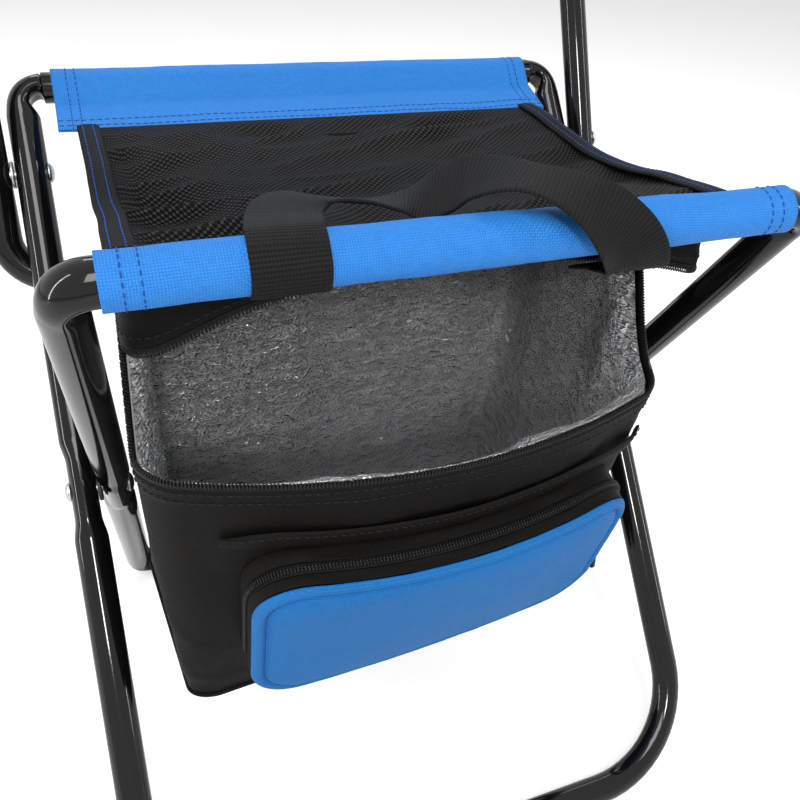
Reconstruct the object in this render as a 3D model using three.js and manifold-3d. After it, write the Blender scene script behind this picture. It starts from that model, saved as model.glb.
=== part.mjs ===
// Folding stool with a backrest and an insulated bag slung under its mesh seat.
// Millimetres, +X to the right seen from the front, +Y to the back, +Z up. Two tube loops cross like
// scissors: the outer one carries the rear seat rail and the front foot, the inner one the front seat rail
// and the rear foot. A third loop, riveted outside the outer one, is the backrest.
import * as THREE from 'three';
import { mergeVertices } from 'three/addons/utils/BufferGeometryUtils.js';
import Module from 'manifold-3d';

const wasm = await Module();
wasm.setup();

// Tubes and the clearance between pieces that touch
const tubeDiameter = 16;
const railWall = 1;
const fitGap = 0.3;
const tubeSides = 16;
const bendSteps = 5;
const pressSteps = 2;

// Scissor frame, its lengths measured along the legs from the scissor rivets
const legLean = THREE.MathUtils.degToRad(38.45);
const pivotToFoot = 227;
const outerPivotToRail = 211;
const innerPivotToRail = 227;
const outerHalfWidth = 151;
const scissorGap = 2.4;
const footBend = 58;
const pressedBend = 10.8;
const insertLength = 32;
const bendPressInside = 3.2;
const bendPressOutside = 1.1;
const bendSpread = 0.5;
const pressRun = 6;

// Scissor rivets and the flats pressed into the tubes round them
const flatDepth = 12.6;
const flatSpread = 1.1;
const flatLength = 28;
const flatBlend = 12;
const rivetDiameter = 5;
const rivetHeadDiameter = 10;
const rivetHeadHeight = 2.4;
const spacerDiameter = 14;
const roundSteps = 12;
const domeSteps = 3;

// Backrest loop, riveted to the outer legs below the rear rail
const backLean = THREE.MathUtils.degToRad(20.6);
const backGap = 2;
const railToBackRivet = 46;
const backRivetToTop = 300;
const stopBend = 22;
const coverHeight = 112;
const coverBelowTop = 12;
const coverWeb = 2.4;

// Seat: cloth sleeves round both rails, mesh between them, hems at its sides
const clothThickness = 0.8;
const rearSleeveInset = 16;
const frontSleeveInset = 11.2;
const rearTail = 41;
const rearTailDrop = THREE.MathUtils.degToRad(17);
const frontTail = 29;
const frontTailDrop = THREE.MathUtils.degToRad(6.5);
const tailThickness = 1.6;
const meshThickness = 3;
const meshRearInset = 9;
const meshFrontInset = 3.8;
const meshSag = 8;
const meshLap = 6;
const hemWidth = 9;
const hemThickness = 1.2;

// Bag: clear of the legs and of the backrest's stop bar, its front just behind the mesh's front edge. Its
// bottom is smaller and turned a little because it hangs askew
const bagSideGap = 7;
const bagFrontInset = 8.34;
const bagBackGap = 7.9;
const bagCorner = 16;
const bagHeight = 225;
const bagBottomWidthShare = 0.906;
const bagBottomDepth = 120;
const bagBottomForward = 11.4;
const bagBottomLeft = 13;
const bagTwist = THREE.MathUtils.degToRad(5.1);
const bagBelly = 2;
const seatToZip = 37;
const shellThickness = 1;
const foamThickness = 3.6;
const liningThickness = 0.6;
const bottomFoamThickness = 4;

// Main zip, undone across the front and partly along the sides, so that the front wall sags forward
const zipHalf = 4;
const zipProud = 0.4;
const mouthStart = 44;
const mouthDrop = 51;
const mouthForward = 31.5;
const mouthCornerForward = 1.4;
const mouthLeft = 9;
const mouthNarrowShare = 0.04;
const zipArchHeight = 20;

// Pocket on the front wall
const pocketSideGap = 29;
const pocketBelowZip = 50;
const pocketCorner = 26;
const pocketAboveBottom = 34.5;
const pocketRearDepth = 8.5;
const pocketFrontDepth = 5;
const pocketBaseHeight = 34;
const pocketFaceThickness = 3.4;
const pocketFaceCrown = 2.2;
const pocketFaceEdge = 1.6;
const pocketWall = 1.2;
const pocketZipWidth = 5;
const pocketGrooveInset = 8;
const pocketGrooveWidth = 1.6;
const pocketGrooveDepth = 0.9;
const pocketRight = 9.5;
const flapHeight = 13;
const flapGap = 2.6;
const flapEndLength = 8;
const flapThickness = 1.2;

// Zip sliders: a plate with a headed stud that the pull tab's eye turns on
const sliderLength = 9;
const sliderWidth = 7;
const sliderPlate = 1.3;
const studRadius = 1.1;
const studHeadRadius = 2.2;
const studHeadThickness = 0.8;
const pullLength = 24;
const pullWidth = 6;
const pullThickness = 1.2;
const sliderSet = 34;
const sliderAboveBase = 7;

// Carry handle of flat webbing, sewn to the bag's front band and laid over the front rail
const strapWidth = 25;
const strapThickness = 1.6;
const strapLeft = -71;
const strapRight = 56;
const strapLay = 62;
const strapTurn = 20;
const strapHump = 9;
const strapHang = 7;
const strapSeam = 17;
const strapSettle = 14;

const outwardX = new THREE.Vector3(1, 0, 0);
const tubeRadius = tubeDiameter / 2;
const innerHalfWidth = outerHalfWidth - flatDepth - scissorGap;
const backHalfWidth = outerHalfWidth + tubeDiameter + backGap;
const sleeveHalfLength = outerHalfWidth - rearSleeveInset;
const frontSleeveHalfLength = innerHalfWidth - frontSleeveInset;
const meshRearHalfWidth = sleeveHalfLength - meshRearInset;
const meshFrontHalfWidth = frontSleeveHalfLength - meshFrontInset;
const bagHalfWidth = innerHalfWidth - tubeRadius - bagSideGap;
const pocketWidth = 2 * (bagHalfWidth - pocketSideGap);
const footDrop = tubeRadius * Math.cos(Math.PI / tubeSides);
const pivotHeight = footDrop + pivotToFoot * Math.cos(legLean);
const railBore = tubeRadius - railWall;
const swagedRadius = railBore * Math.cos(Math.PI / tubeSides) - fitGap;
const sleeveRadius = tubeRadius + fitGap + clothThickness;
const weldGap = 1e-4;

const finishes = {
  tube: { color: 0x0c0c0e, roughness: 0.18, metalness: 0.2 },
  rivet: { color: 0xb9bcc0, roughness: 0.3, metalness: 0.9 },
  plastic: { color: 0x141416, roughness: 0.5, metalness: 0 },
  blueCloth: { color: 0x2f78d6, roughness: 0.85, metalness: 0 },
  pocketCloth: { color: 0x2467ba, roughness: 0.85, metalness: 0 },
  blackCloth: { color: 0x1c1b1a, roughness: 0.9, metalness: 0 },
  mesh: { color: 0x141414, roughness: 0.9, metalness: 0 },
  webbing: { color: 0x111112, roughness: 0.85, metalness: 0 },
  foam: { color: 0xe8e8e4, roughness: 0.8, metalness: 0 },
  foil: { color: 0xc8cace, roughness: 0.3, metalness: 0.9 },
};

/** A named mesh of one body with one of the finishes above. */
function piece(name, geometry, finish) {
  const mesh = new THREE.Mesh(geometry, new THREE.MeshStandardMaterial(finishes[finish]));
  mesh.name = name;
  return mesh;
}

/** Turns a geometry into a solid for joining and cutting. */
function toSolid(geometry) {
  const bare = geometry.clone();
  bare.deleteAttribute('normal');
  bare.deleteAttribute('uv');
  const merged = mergeVertices(bare, weldGap);
  return new wasm.Manifold(new wasm.Mesh({
    numProp: 3,
    vertProperties: new Float32Array(merged.attributes.position.array),
    triVerts: new Uint32Array(merged.index.array),
  }));
}

/** Turns a solid back into a geometry. */
function toGeometry(solid) {
  const mesh = solid.getMesh();
  const geometry = new THREE.BufferGeometry();
  geometry.setAttribute('position', new THREE.BufferAttribute(mesh.vertProperties, 3));
  geometry.setIndex(new THREE.BufferAttribute(mesh.triVerts, 1));
  geometry.computeVertexNormals();
  return geometry;
}

/** A geometry from corner points and triangles. */
function fromTriangles(points, triangles) {
  const geometry = new THREE.BufferGeometry();
  geometry.setAttribute('position', new THREE.Float32BufferAttribute(points, 3));
  geometry.setIndex(triangles);
  geometry.computeVertexNormals();
  return geometry;
}

/** Places from 0 to 1 in a number of equal steps. */
function evenStops(steps) {
  return Array.from({ length: steps + 1 }, (_, step) => step / steps);
}

/** A smooth step from 0 to 1 while value goes from start to end. */
function ease(value, start, end) {
  const share = THREE.MathUtils.clamp((value - start) / (end - start), 0, 1);
  return share * share * (3 - 2 * share);
}

/**
 * The centre line of a bent tube in its plane: straight runs joined by round bends.
 * Each corner has x, y and the bend radius; the first and last have none.
 */
function bentLine(corners) {
  const runs = [];
  let from = new THREE.Vector2(corners[0].x, corners[0].y);
  let reached = 0;
  for (let i = 1; i < corners.length; i += 1) {
    const corner = new THREE.Vector2(corners[i].x, corners[i].y);
    const ahead = corner.clone().sub(from).normalize();
    const heading = Math.atan2(ahead.y, ahead.x);
    const isLast = i === corners.length - 1;
    const bend = isLast ? 0 : corners[i].bend;
    const next = corners[Math.min(i + 1, corners.length - 1)];
    const after = isLast ? ahead : new THREE.Vector2(next.x, next.y).sub(corner).normalize();
    const turn = Math.atan2(ahead.x * after.y - ahead.y * after.x, ahead.dot(after));
    const trim = bend * Math.tan(Math.abs(turn) / 2);
    const straightEnd = corner.clone().addScaledVector(ahead, -trim);
    const straight = straightEnd.distanceTo(from);
    runs.push({ kind: 'straight', from: from.clone(), heading, start: reached, length: straight });
    reached += straight;
    if (!isLast) {
      const round = bend * Math.abs(turn);
      runs.push({ kind: 'bend', from: straightEnd, heading, turn, bend, start: reached, length: round });
      reached += round;
      from = corner.clone().addScaledVector(after, trim);
    }
  }
  return { runs, length: reached };
}

/** The place and heading on a bent line at a distance from its start. */
function onLine(line, distance) {
  const run = line.runs.findLast((each) => distance >= each.start) ?? line.runs[0];
  const along = Math.min(distance - run.start, run.length);
  if (run.kind === 'straight') {
    return {
      x: run.from.x + along * Math.cos(run.heading),
      y: run.from.y + along * Math.sin(run.heading),
      heading: run.heading,
    };
  }
  const side = Math.sign(run.turn);
  const angle = along / run.bend;
  const centreX = run.from.x - side * run.bend * Math.sin(run.heading);
  const centreY = run.from.y + side * run.bend * Math.cos(run.heading);
  const heading = run.heading + side * angle;
  return {
    x: centreX + side * run.bend * Math.sin(heading),
    y: centreY - side * run.bend * Math.cos(heading),
    heading,
  };
}

/** Distances at which a tube needs a ring: ends of runs, steps round bends and round pressed places. */
function ringDistances(line, presses) {
  const distances = [0, line.length];
  for (const run of line.runs.filter((each) => each.kind === 'bend')) {
    distances.push(...evenStops(bendSteps).map((share) => run.start + run.length * share));
  }
  for (const press of presses) {
    const steps = press.blend > fitGap ? pressSteps : 1;
    for (let step = 0; step <= steps; step += 1) {
      const reach = press.half + (press.blend * step) / steps;
      distances.push(press.at - reach, press.at + reach);
    }
  }
  const inside = distances.filter((each) => each >= 0 && each <= line.length).sort((a, b) => a - b);
  return inside.filter((each, i) => i === 0 || each - inside[i - 1] > fitGap / 2);
}

/**
 * A solid tube along a bent line in the XY plane. A press changes the section over a stretch: its inner side
 * faces the inside of the loop, its deep size lies along Z.
 */
function bentTube(corners, presses, turn) {
  const line = bentLine(corners);
  const distances = ringDistances(line, presses);
  distances[distances.length - 1] = line.length;
  const points = [];
  const triangles = [];
  for (const distance of distances) {
    const { x, y, heading } = onLine(line, distance);
    const size = { inner: tubeRadius, outer: tubeRadius, deep: tubeRadius };
    for (const press of presses) {
      const share = 1 - ease(Math.abs(distance - press.at), press.half, press.half + press.blend);
      for (const key of Object.keys(size)) size[key] = THREE.MathUtils.lerp(size[key], press[key], share);
    }
    for (let k = 0; k < tubeSides; k += 1) {
      const angle = turn + (2 * Math.PI * k) / tubeSides;
      const inward = Math.cos(angle) * (Math.cos(angle) > 0 ? size.inner : size.outer);
      const deep = size.deep * Math.sin(angle);
      points.push(x - inward * Math.sin(heading), y + inward * Math.cos(heading), deep);
    }
  }
  const rings = distances.length;
  for (let ring = 0; ring < rings - 1; ring += 1) {
    for (let k = 0; k < tubeSides; k += 1) {
      const next = (k + 1) % tubeSides;
      const a = ring * tubeSides + k;
      const b = ring * tubeSides + next;
      triangles.push(a, b, a + tubeSides, b, b + tubeSides, a + tubeSides);
    }
  }
  for (let k = 1; k < tubeSides - 1; k += 1) {
    const end = (rings - 1) * tubeSides;
    triangles.push(0, k + 1, k);
    triangles.push(end, end + k, end + k + 1);
  }
  return fromTriangles(points, triangles);
}

/** A straight hollow tube along X with a flat side turned down to the floor. */
function straightTube(halfLength) {
  const profile = [
    [railBore, -halfLength],
    [tubeRadius, -halfLength],
    [tubeRadius, halfLength],
    [railBore, halfLength],
    [railBore, -halfLength],
  ].map(([radius, along]) => new THREE.Vector2(radius, along));
  const geometry = new THREE.LatheGeometry(profile, tubeSides, Math.PI / tubeSides);
  return geometry.rotateZ(-Math.PI / 2);
}

/** A cylinder along X, for rivet holes. */
function bore(radius, halfLength) {
  return new THREE.CylinderGeometry(radius, radius, 2 * halfLength, roundSteps).rotateZ(-Math.PI / 2);
}

/** A press that flattens the tube round a rivet, or a bend, at a distance along its line. */
function pressAt(at, half, blend, inner, outer, deep) {
  return { at, half, blend, inner, outer, deep };
}

/** The presses of a loop: swaged ends inside a rail, pressed bends, and flats round the scissor rivets. */
function loopPresses(corners, tightBends, flats, hasSwagedEnds) {
  const line = bentLine(corners);
  const presses = [];
  const bends = line.runs.filter((run) => run.kind === 'bend');
  for (const index of tightBends) {
    const bend = bends[index];
    const middle = bend.start + bend.length / 2;
    presses.push(pressAt(middle, bend.length / 4, bend.length / 4 + pressRun,
      tubeRadius - bendPressInside, tubeRadius - bendPressOutside, tubeRadius + bendSpread));
  }
  for (const at of flats) {
    presses.push(pressAt(at, flatLength / 2, flatBlend,
      flatDepth / 2, flatDepth / 2, tubeRadius + flatSpread));
  }
  if (hasSwagedEnds) {
    for (const at of [0, line.length]) {
      presses.push(pressAt(at, insertLength, fitGap, swagedRadius, swagedRadius, swagedRadius));
    }
  }
  return presses;
}

/** The tubes with a hole through both legs at each height in the loop's plane. */
function drill(geometry, heights) {
  let solid = toSolid(geometry);
  for (const height of heights) {
    const hole = bore(rivetDiameter / 2 + fitGap, 2 * backHalfWidth).translate(0, height, 0);
    solid = solid.subtract(toSolid(hole));
  }
  return toGeometry(solid);
}

/** A frame loop as a group: turned back from upright by lean about the X axis, at a place in the YZ plane. */
function loopGroup(y, z, lean, ...meshes) {
  const group = new THREE.Group();
  group.position.set(0, y, z);
  group.rotation.x = Math.PI / 2 - lean;
  group.add(...meshes);
  return group;
}

/** The world place of a point in a loop's plane, at a distance up from the loop's own origin. */
function upLoop(y, z, lean, distance) {
  return new THREE.Vector2(y + distance * Math.sin(lean), z + distance * Math.cos(lean));
}

const facetTurn = Math.PI / tubeSides;
const railHalfLength = outerHalfWidth - pressedBend - fitGap;
const rearFootHalfLength = innerHalfWidth - pressedBend - fitGap;
const topBarHalfLength = backHalfWidth - pressedBend - fitGap;
const backRivetUp = outerPivotToRail - railToBackRivet;
const stopDown = (tubeDiameter + fitGap) / Math.sin(legLean - backLean);

const rearRail = upLoop(0, pivotHeight, legLean, outerPivotToRail);
const frontRail = upLoop(0, pivotHeight, -legLean, innerPivotToRail);
const rearFoot = upLoop(0, pivotHeight, -legLean, -pivotToFoot);
const backRivet = upLoop(0, pivotHeight, legLean, backRivetUp);
const backTop = upLoop(backRivet.x, backRivet.y, backLean, backRivetToTop);

/** Outer loop: swaged ends in the rear rail, pressed bends, legs, and the round-cornered front foot. */
function outerLoop() {
  const corners = [
    { x: insertLength - railHalfLength, y: outerPivotToRail },
    { x: -outerHalfWidth, y: outerPivotToRail, bend: pressedBend },
    { x: -outerHalfWidth, y: -pivotToFoot, bend: footBend },
    { x: outerHalfWidth, y: -pivotToFoot, bend: footBend },
    { x: outerHalfWidth, y: outerPivotToRail, bend: pressedBend },
    { x: railHalfLength - insertLength, y: outerPivotToRail },
  ];
  const line = bentLine(corners);
  const leg = line.runs.filter((run) => run.kind === 'straight')[1];
  const pivotAt = leg.start + outerPivotToRail - pressedBend;
  const presses = loopPresses(corners, [0, 3], [pivotAt, line.length - pivotAt], true);
  const geometry = bentTube(corners, presses, legLean + facetTurn);
  return drill(geometry, [0, backRivetUp]);
}

/** Inner loop: front seat rail and legs in one, swaged ends in the rear foot. */
function innerLoop() {
  const corners = [
    { x: rearFootHalfLength - insertLength, y: -pivotToFoot },
    { x: innerHalfWidth, y: -pivotToFoot, bend: pressedBend },
    { x: innerHalfWidth, y: innerPivotToRail, bend: pressedBend },
    { x: -innerHalfWidth, y: innerPivotToRail, bend: pressedBend },
    { x: -innerHalfWidth, y: -pivotToFoot, bend: pressedBend },
    { x: insertLength - rearFootHalfLength, y: -pivotToFoot },
  ];
  const line = bentLine(corners);
  const leg = line.runs.filter((run) => run.kind === 'straight')[1];
  const pivotAt = leg.start + pivotToFoot - pressedBend;
  const presses = loopPresses(corners, [0, 1, 2, 3], [pivotAt, line.length - pivotAt], true);
  const geometry = bentTube(corners, presses, facetTurn);
  return drill(geometry, [0]);
}

/** Backrest loop: stop bar behind the outer legs, uprights, swaged ends in the top bar. */
function backLoop() {
  const corners = [
    { x: insertLength - topBarHalfLength, y: backRivetToTop },
    { x: -backHalfWidth, y: backRivetToTop, bend: pressedBend },
    { x: -backHalfWidth, y: -stopDown, bend: stopBend },
    { x: backHalfWidth, y: -stopDown, bend: stopBend },
    { x: backHalfWidth, y: backRivetToTop, bend: pressedBend },
    { x: topBarHalfLength - insertLength, y: backRivetToTop },
  ];
  const presses = loopPresses(corners, [0, 3], [], true);
  const geometry = bentTube(corners, presses, facetTurn);
  return drill(geometry, [0]);
}

/** A rivet along X between two outer faces, with a domed head at each end. */
function rivet(inside, outside) {
  const half = (outside - inside) / 2 + fitGap;
  const shank = rivetDiameter / 2;
  const head = rivetHeadDiameter / 2;
  const dome = [];
  for (let step = 1; step <= domeSteps; step += 1) {
    const angle = (Math.PI / 2) * (step / domeSteps);
    dome.push(new THREE.Vector2(head * Math.cos(angle), half + rivetHeadHeight * Math.sin(angle)));
  }
  dome[dome.length - 1].x = 0;
  const upper = [new THREE.Vector2(shank, half), new THREE.Vector2(head, half), ...dome];
  const lower = upper.map((point) => new THREE.Vector2(point.x, -point.y)).reverse();
  const geometry = new THREE.LatheGeometry([...lower, ...upper], roundSteps).rotateZ(-Math.PI / 2);
  return geometry.translate((inside + outside) / 2, 0, 0);
}

/** A flat ring along X round a rivet, filling the space between two tubes. */
function spacer(inside, outside) {
  const half = (outside - inside) / 2 - fitGap;
  const inner = rivetDiameter / 2 + fitGap;
  const outer = spacerDiameter / 2;
  const profile = [[inner, -half], [outer, -half], [outer, half], [inner, half], [inner, -half]]
    .map(([radius, along]) => new THREE.Vector2(radius, along));
  const ring = new THREE.LatheGeometry(profile, roundSteps).rotateZ(-Math.PI / 2);
  return ring.translate((inside + outside) / 2, 0, 0);
}

/** The rivet and spacer of one side of the stool, mirrored to the left by side -1. */
function rivetPair(prefix, side, spans) {
  const word = side > 0 ? 'right' : 'left';
  const meshes = [
    piece(`${prefix}_rivet_${word}`, rivet(spans.headInside, spans.headOutside), 'rivet'),
    piece(`${prefix}_spacer_${word}`, spacer(spans.gapInside, spans.gapOutside), 'plastic'),
  ];
  for (const mesh of meshes) mesh.geometry.rotateZ(side > 0 ? 0 : Math.PI);
  return meshes;
}

/** A shape in the YZ plane drawn out along X, centred on X = 0. */
function alongX(shape, halfLength, curveSegments) {
  const settings = { depth: 2 * halfLength, bevelEnabled: false, curveSegments };
  const geometry = new THREE.ExtrudeGeometry(shape, settings);
  geometry.translate(0, 0, -halfLength);
  return geometry.applyMatrix4(new THREE.Matrix4().makeBasis(
    new THREE.Vector3(0, 1, 0), new THREE.Vector3(0, 0, 1), outwardX));
}

/** A cloth sleeve round a rail, with its sewn tail leaving at an angle from the forward direction. */
function sleeve(tailLength, tailAngle, halfLength) {
  const opening = Math.asin(tailThickness / 2 / sleeveRadius);
  const tip = new THREE.Vector2(Math.cos(tailAngle), Math.sin(tailAngle)).multiplyScalar(tailLength);
  const side = new THREE.Vector2(-Math.sin(tailAngle), Math.cos(tailAngle)).multiplyScalar(tailThickness / 2);
  const shape = new THREE.Shape();
  shape.absarc(0, 0, sleeveRadius, tailAngle + opening, tailAngle + 2 * Math.PI - opening, false);
  shape.lineTo(tip.x - side.x, tip.y - side.y);
  shape.lineTo(tip.x + side.x, tip.y + side.y);
  shape.closePath();
  const hole = new THREE.Path();
  hole.absarc(0, 0, sleeveRadius - clothThickness, 0, 2 * Math.PI, true);
  shape.holes.push(hole);
  return alongX(shape, halfLength, 2 * tubeSides);
}

/** The backrest's cloth: a sleeve round each upright and a double panel between them, up the uprights. */
function backCover() {
  const web = coverWeb / 2;
  const reach = Math.asin(web / sleeveRadius);
  const shape = new THREE.Shape();
  shape.absarc(backHalfWidth, 0, sleeveRadius, Math.PI + reach, 3 * Math.PI - reach, false);
  shape.absarc(-backHalfWidth, 0, sleeveRadius, reach, 2 * Math.PI - reach, false);
  shape.closePath();
  for (const x of [-backHalfWidth, backHalfWidth]) {
    const hole = new THREE.Path();
    hole.absarc(x, 0, sleeveRadius - clothThickness, 0, 2 * Math.PI, true);
    shape.holes.push(hole);
  }
  const settings = { depth: coverHeight, bevelEnabled: false, curveSegments: 2 * roundSteps };
  const geometry = new THREE.ExtrudeGeometry(shape, settings);
  geometry.rotateX(-Math.PI / 2);
  return geometry.translate(0, backRivetToTop - tubeRadius - coverBelowTop - coverHeight, 0);
}

/**
 * A sheet of cloth, foam or tape as one closed body. The surface gives a point for each u and v from 0 to 1;
 * near and far are the offsets of the two faces along its normal. The steps are a list of places in u and a
 * number of steps in v. A closed sheet joins up in u.
 */
function sheet(surface, near, far, steps, isClosed = false) {
  const [stopsU, stepsV] = steps;
  const stepsU = stopsU.length - 1;
  const columns = isClosed ? stepsU : stepsU + 1;
  const shareStep = 1e-3;
  const points = [];
  for (const offset of [near, far]) {
    for (let j = 0; j <= stepsV; j += 1) {
      for (let i = 0; i < columns; i += 1) {
        const u = stopsU[i];
        const v = j / stepsV;
        const lowU = isClosed ? u - shareStep : Math.max(0, u - shareStep);
        const highU = isClosed ? u + shareStep : Math.min(1, u + shareStep);
        const alongU = surface(highU, v).sub(surface(lowU, v));
        const alongV = surface(u, Math.min(1, v + shareStep)).sub(surface(u, Math.max(0, v - shareStep)));
        const normal = alongU.cross(alongV).normalize();
        points.push(...surface(u, v).addScaledVector(normal, offset).toArray());
      }
    }
  }
  const at = (layer, j, i) => (layer * (stepsV + 1) + j) * columns + (i % columns);
  const triangles = [];
  const quad = (a, b, c, d) => triangles.push(a, b, c, a, c, d);
  for (let i = 0; i < stepsU; i += 1) {
    for (let j = 0; j < stepsV; j += 1) {
      quad(at(1, j, i), at(1, j, i + 1), at(1, j + 1, i + 1), at(1, j + 1, i));
      quad(at(0, j, i), at(0, j + 1, i), at(0, j + 1, i + 1), at(0, j, i + 1));
    }
    quad(at(0, 0, i), at(0, 0, i + 1), at(1, 0, i + 1), at(1, 0, i));
    quad(at(0, stepsV, i), at(1, stepsV, i), at(1, stepsV, i + 1), at(0, stepsV, i + 1));
  }
  if (!isClosed) {
    for (let j = 0; j < stepsV; j += 1) {
      quad(at(0, j, 0), at(1, j, 0), at(1, j + 1, 0), at(0, j + 1, 0));
      quad(at(0, j, stepsU), at(0, j + 1, stepsU), at(1, j + 1, stepsU), at(1, j, stepsU));
    }
  }
  return fromTriangles(points, triangles);
}

const rearTip = new THREE.Vector2(
  rearRail.x - rearTail * Math.cos(rearTailDrop), rearRail.y - rearTail * Math.sin(rearTailDrop));
const frontTip = new THREE.Vector2(
  frontRail.x + frontTail * Math.cos(frontTailDrop), frontRail.y - frontTail * Math.sin(frontTailDrop));
const meshRear = rearTip.x - 3 * fitGap;
const meshFront = frontTip.x - meshLap;
const meshFrontHeight = frontTip.y - tailThickness / 2 - fitGap - meshThickness / 2;
const bagFront = -meshFront - bagFrontInset;
const bagBack = backRivet.x - stopDown * Math.sin(backLean) - tubeRadius - bagBackGap;

/** Height of the middle of the seat mesh at a place from front to back. */
function seatHeight(y) {
  const share = (y - meshFront) / (meshRear - meshFront);
  const sag = meshSag * Math.sin(Math.PI * THREE.MathUtils.clamp(share, 0, 1)) ** 2;
  return THREE.MathUtils.lerp(meshFrontHeight, rearTip.y, share) - sag;
}

/** Half the width of the seat mesh at a place from front to back. */
function seatHalfWidth(y) {
  return THREE.MathUtils.mapLinear(y, meshFront, meshRear, meshFrontHalfWidth, meshRearHalfWidth);
}

/** The seat mesh as a surface: u runs across, v from front to back. */
function seatSurface(u, v) {
  const y = THREE.MathUtils.lerp(meshFront, meshRear, v);
  return new THREE.Vector3((2 * u - 1) * seatHalfWidth(y), y, seatHeight(y));
}

/** The hem on one side edge of the seat mesh, behind the front sleeve's tail. */
function hemSurface(side) {
  return (u, v) => {
    const y = THREE.MathUtils.lerp(frontTip.x + 2 * fitGap, meshRear - fitGap, v);
    const outer = seatHalfWidth(y);
    const inset = side > 0 ? hemWidth * (1 - u) : hemWidth * u;
    return new THREE.Vector3(side * (outer - inset), y, seatHeight(y));
  };
}

const zipLevel = seatHeight(-bagFront) - seatToZip;
const bottomLevel = zipLevel - bagHeight;

/** The bag's outline seen from above at the zip, anticlockwise from the middle of the back. */
function bagPath() {
  const x = bagHalfWidth - bagCorner;
  const front = bagCorner - bagFront;
  const back = bagBack - bagCorner;
  const quarter = Math.PI / 2;
  const path = new THREE.Path();
  path.moveTo(0, bagBack);
  path.lineTo(-x, bagBack);
  path.absarc(-x, back, bagCorner, quarter, 2 * quarter, false);
  path.lineTo(-bagHalfWidth, front);
  path.absarc(-x, front, bagCorner, 2 * quarter, 3 * quarter, false);
  path.lineTo(x, -bagFront);
  path.absarc(x, front, bagCorner, 3 * quarter, 4 * quarter, false);
  path.lineTo(bagHalfWidth, back);
  path.absarc(x, back, bagCorner, 0, quarter, false);
  path.lineTo(0, bagBack);
  return path;
}

const bagOutline = bagPath();
const bagLengths = bagOutline.getCurveLengths();
const bagRound = bagLengths[bagLengths.length - 1];
const leftBackSeam = bagLengths[1] / bagRound;
const leftFrontSeam = bagLengths[2] / bagRound;
const frontStart = bagLengths[3] / bagRound;
const frontEnd = bagLengths[4] / bagRound;
const rightFrontSeam = bagLengths[5] / bagRound;
const rightBackSeam = bagLengths[6] / bagRound;
const seamGap = (2 * fitGap) / bagRound;
const cornerSteps = 4;
const sideSteps = 9;
const frontSteps = 12;
const backSteps = 1;
const wallSteps = 4;
const kneeShare = 1 - 1 / wallSteps;
const sideRun = [cornerSteps, sideSteps, cornerSteps];
const stepsRound = [backSteps, ...sideRun, frontSteps, ...sideRun, backSteps];

/** Shares of the way round at which every layer of the bag has a column of corners. */
function bagStops() {
  const stops = [];
  stepsRound.forEach((steps, curve) => {
    const start = curve === 0 ? 0 : bagLengths[curve - 1] / bagRound;
    const end = bagLengths[curve] / bagRound;
    for (let step = 0; step < steps; step += 1) stops.push(start + ((end - start) * step) / steps);
  });
  return stops;
}

const roundStops = bagStops();

/** Those stops as shares of a stretch, with its two ends. */
function stopsWithin(from, to) {
  const twice = [...roundStops, ...roundStops.map((stop) => stop + 1)];
  const inside = twice.filter((stop) => stop > from + seamGap && stop < to - seamGap);
  return [0, ...inside.map((stop) => (stop - from) / (to - from)), 1];
}

/** A point of the outline at a share of the way round, past either end too. */
function roundBag(share) {
  return bagOutline.getPoint(((share % 1) + 1) % 1);
}

/** How far the mouth is open at a point of the outline: 0 where the zip is shut, 1 across the front. */
function openShare(y) {
  return ease(-y, mouthStart, bagFront - bagCorner / 2);
}

/** The wall's top edge, at the zip. */
function rimPoint(share) {
  const { x, y } = roundBag(share);
  const open = openShare(y);
  const side = (x / bagHalfWidth) ** 2;
  const forward = mouthForward * (1 - side) + mouthCornerForward * side;
  const across = x - (x * mouthNarrowShare + mouthLeft) * open;
  return new THREE.Vector3(across, y - forward * open, zipLevel - mouthDrop * open);
}

/** The wall's bottom edge, smaller than the top, swung forward and turned by the twist. */
function footPoint(share) {
  const { x, y } = roundBag(share);
  const depthShare = bagBottomDepth / (bagFront + bagBack);
  const place = new THREE.Vector2(x * bagBottomWidthShare, bagBack - (bagBack - y) * depthShare);
  place.rotateAround(new THREE.Vector2(0, bagBack - bagBottomDepth / 2), bagTwist);
  place.sub(new THREE.Vector2(bagBottomLeft, bagBottomForward));
  return new THREE.Vector3(place.x, place.y, bottomLevel + shellThickness + fitGap);
}

/** A point of the outer face of the bag's wall, up the straight line from its foot to its rim. */
function wallPoint(share, up) {
  const foot = footPoint(share);
  const point = foot.clone().lerp(rimPoint(share), up);
  const { y } = roundBag(share);
  const belly = 4 * bagBelly * up * (1 - up) * ((bagBack - y) / (bagBack + bagFront));
  const ahead = roundBag(share + seamGap).sub(roundBag(share - seamGap)).normalize();
  return point.add(new THREE.Vector3(ahead.y * belly, -ahead.x * belly, 0));
}

/** A stretch of the wall as a surface, ending short of the foot by lift and of the rim by drop. */
function wallSurface(from, to, lift, drop) {
  return (u, v) => {
    const share = THREE.MathUtils.lerp(from, to, u);
    const length = footPoint(share).distanceTo(rimPoint(share));
    return wallPoint(share, THREE.MathUtils.lerp(lift / length, 1 - drop / length, v));
  };
}

/** The strip along the wall's top edge between two distances below it. */
function rimSurface(below, above) {
  return (u, v) => {
    const share = THREE.MathUtils.lerp(leftBackSeam + seamGap, rightBackSeam - seamGap, u);
    const length = footPoint(share).distanceTo(rimPoint(share));
    return wallPoint(share, 1 - THREE.MathUtils.lerp(below, above, v) / length);
  };
}

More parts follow.
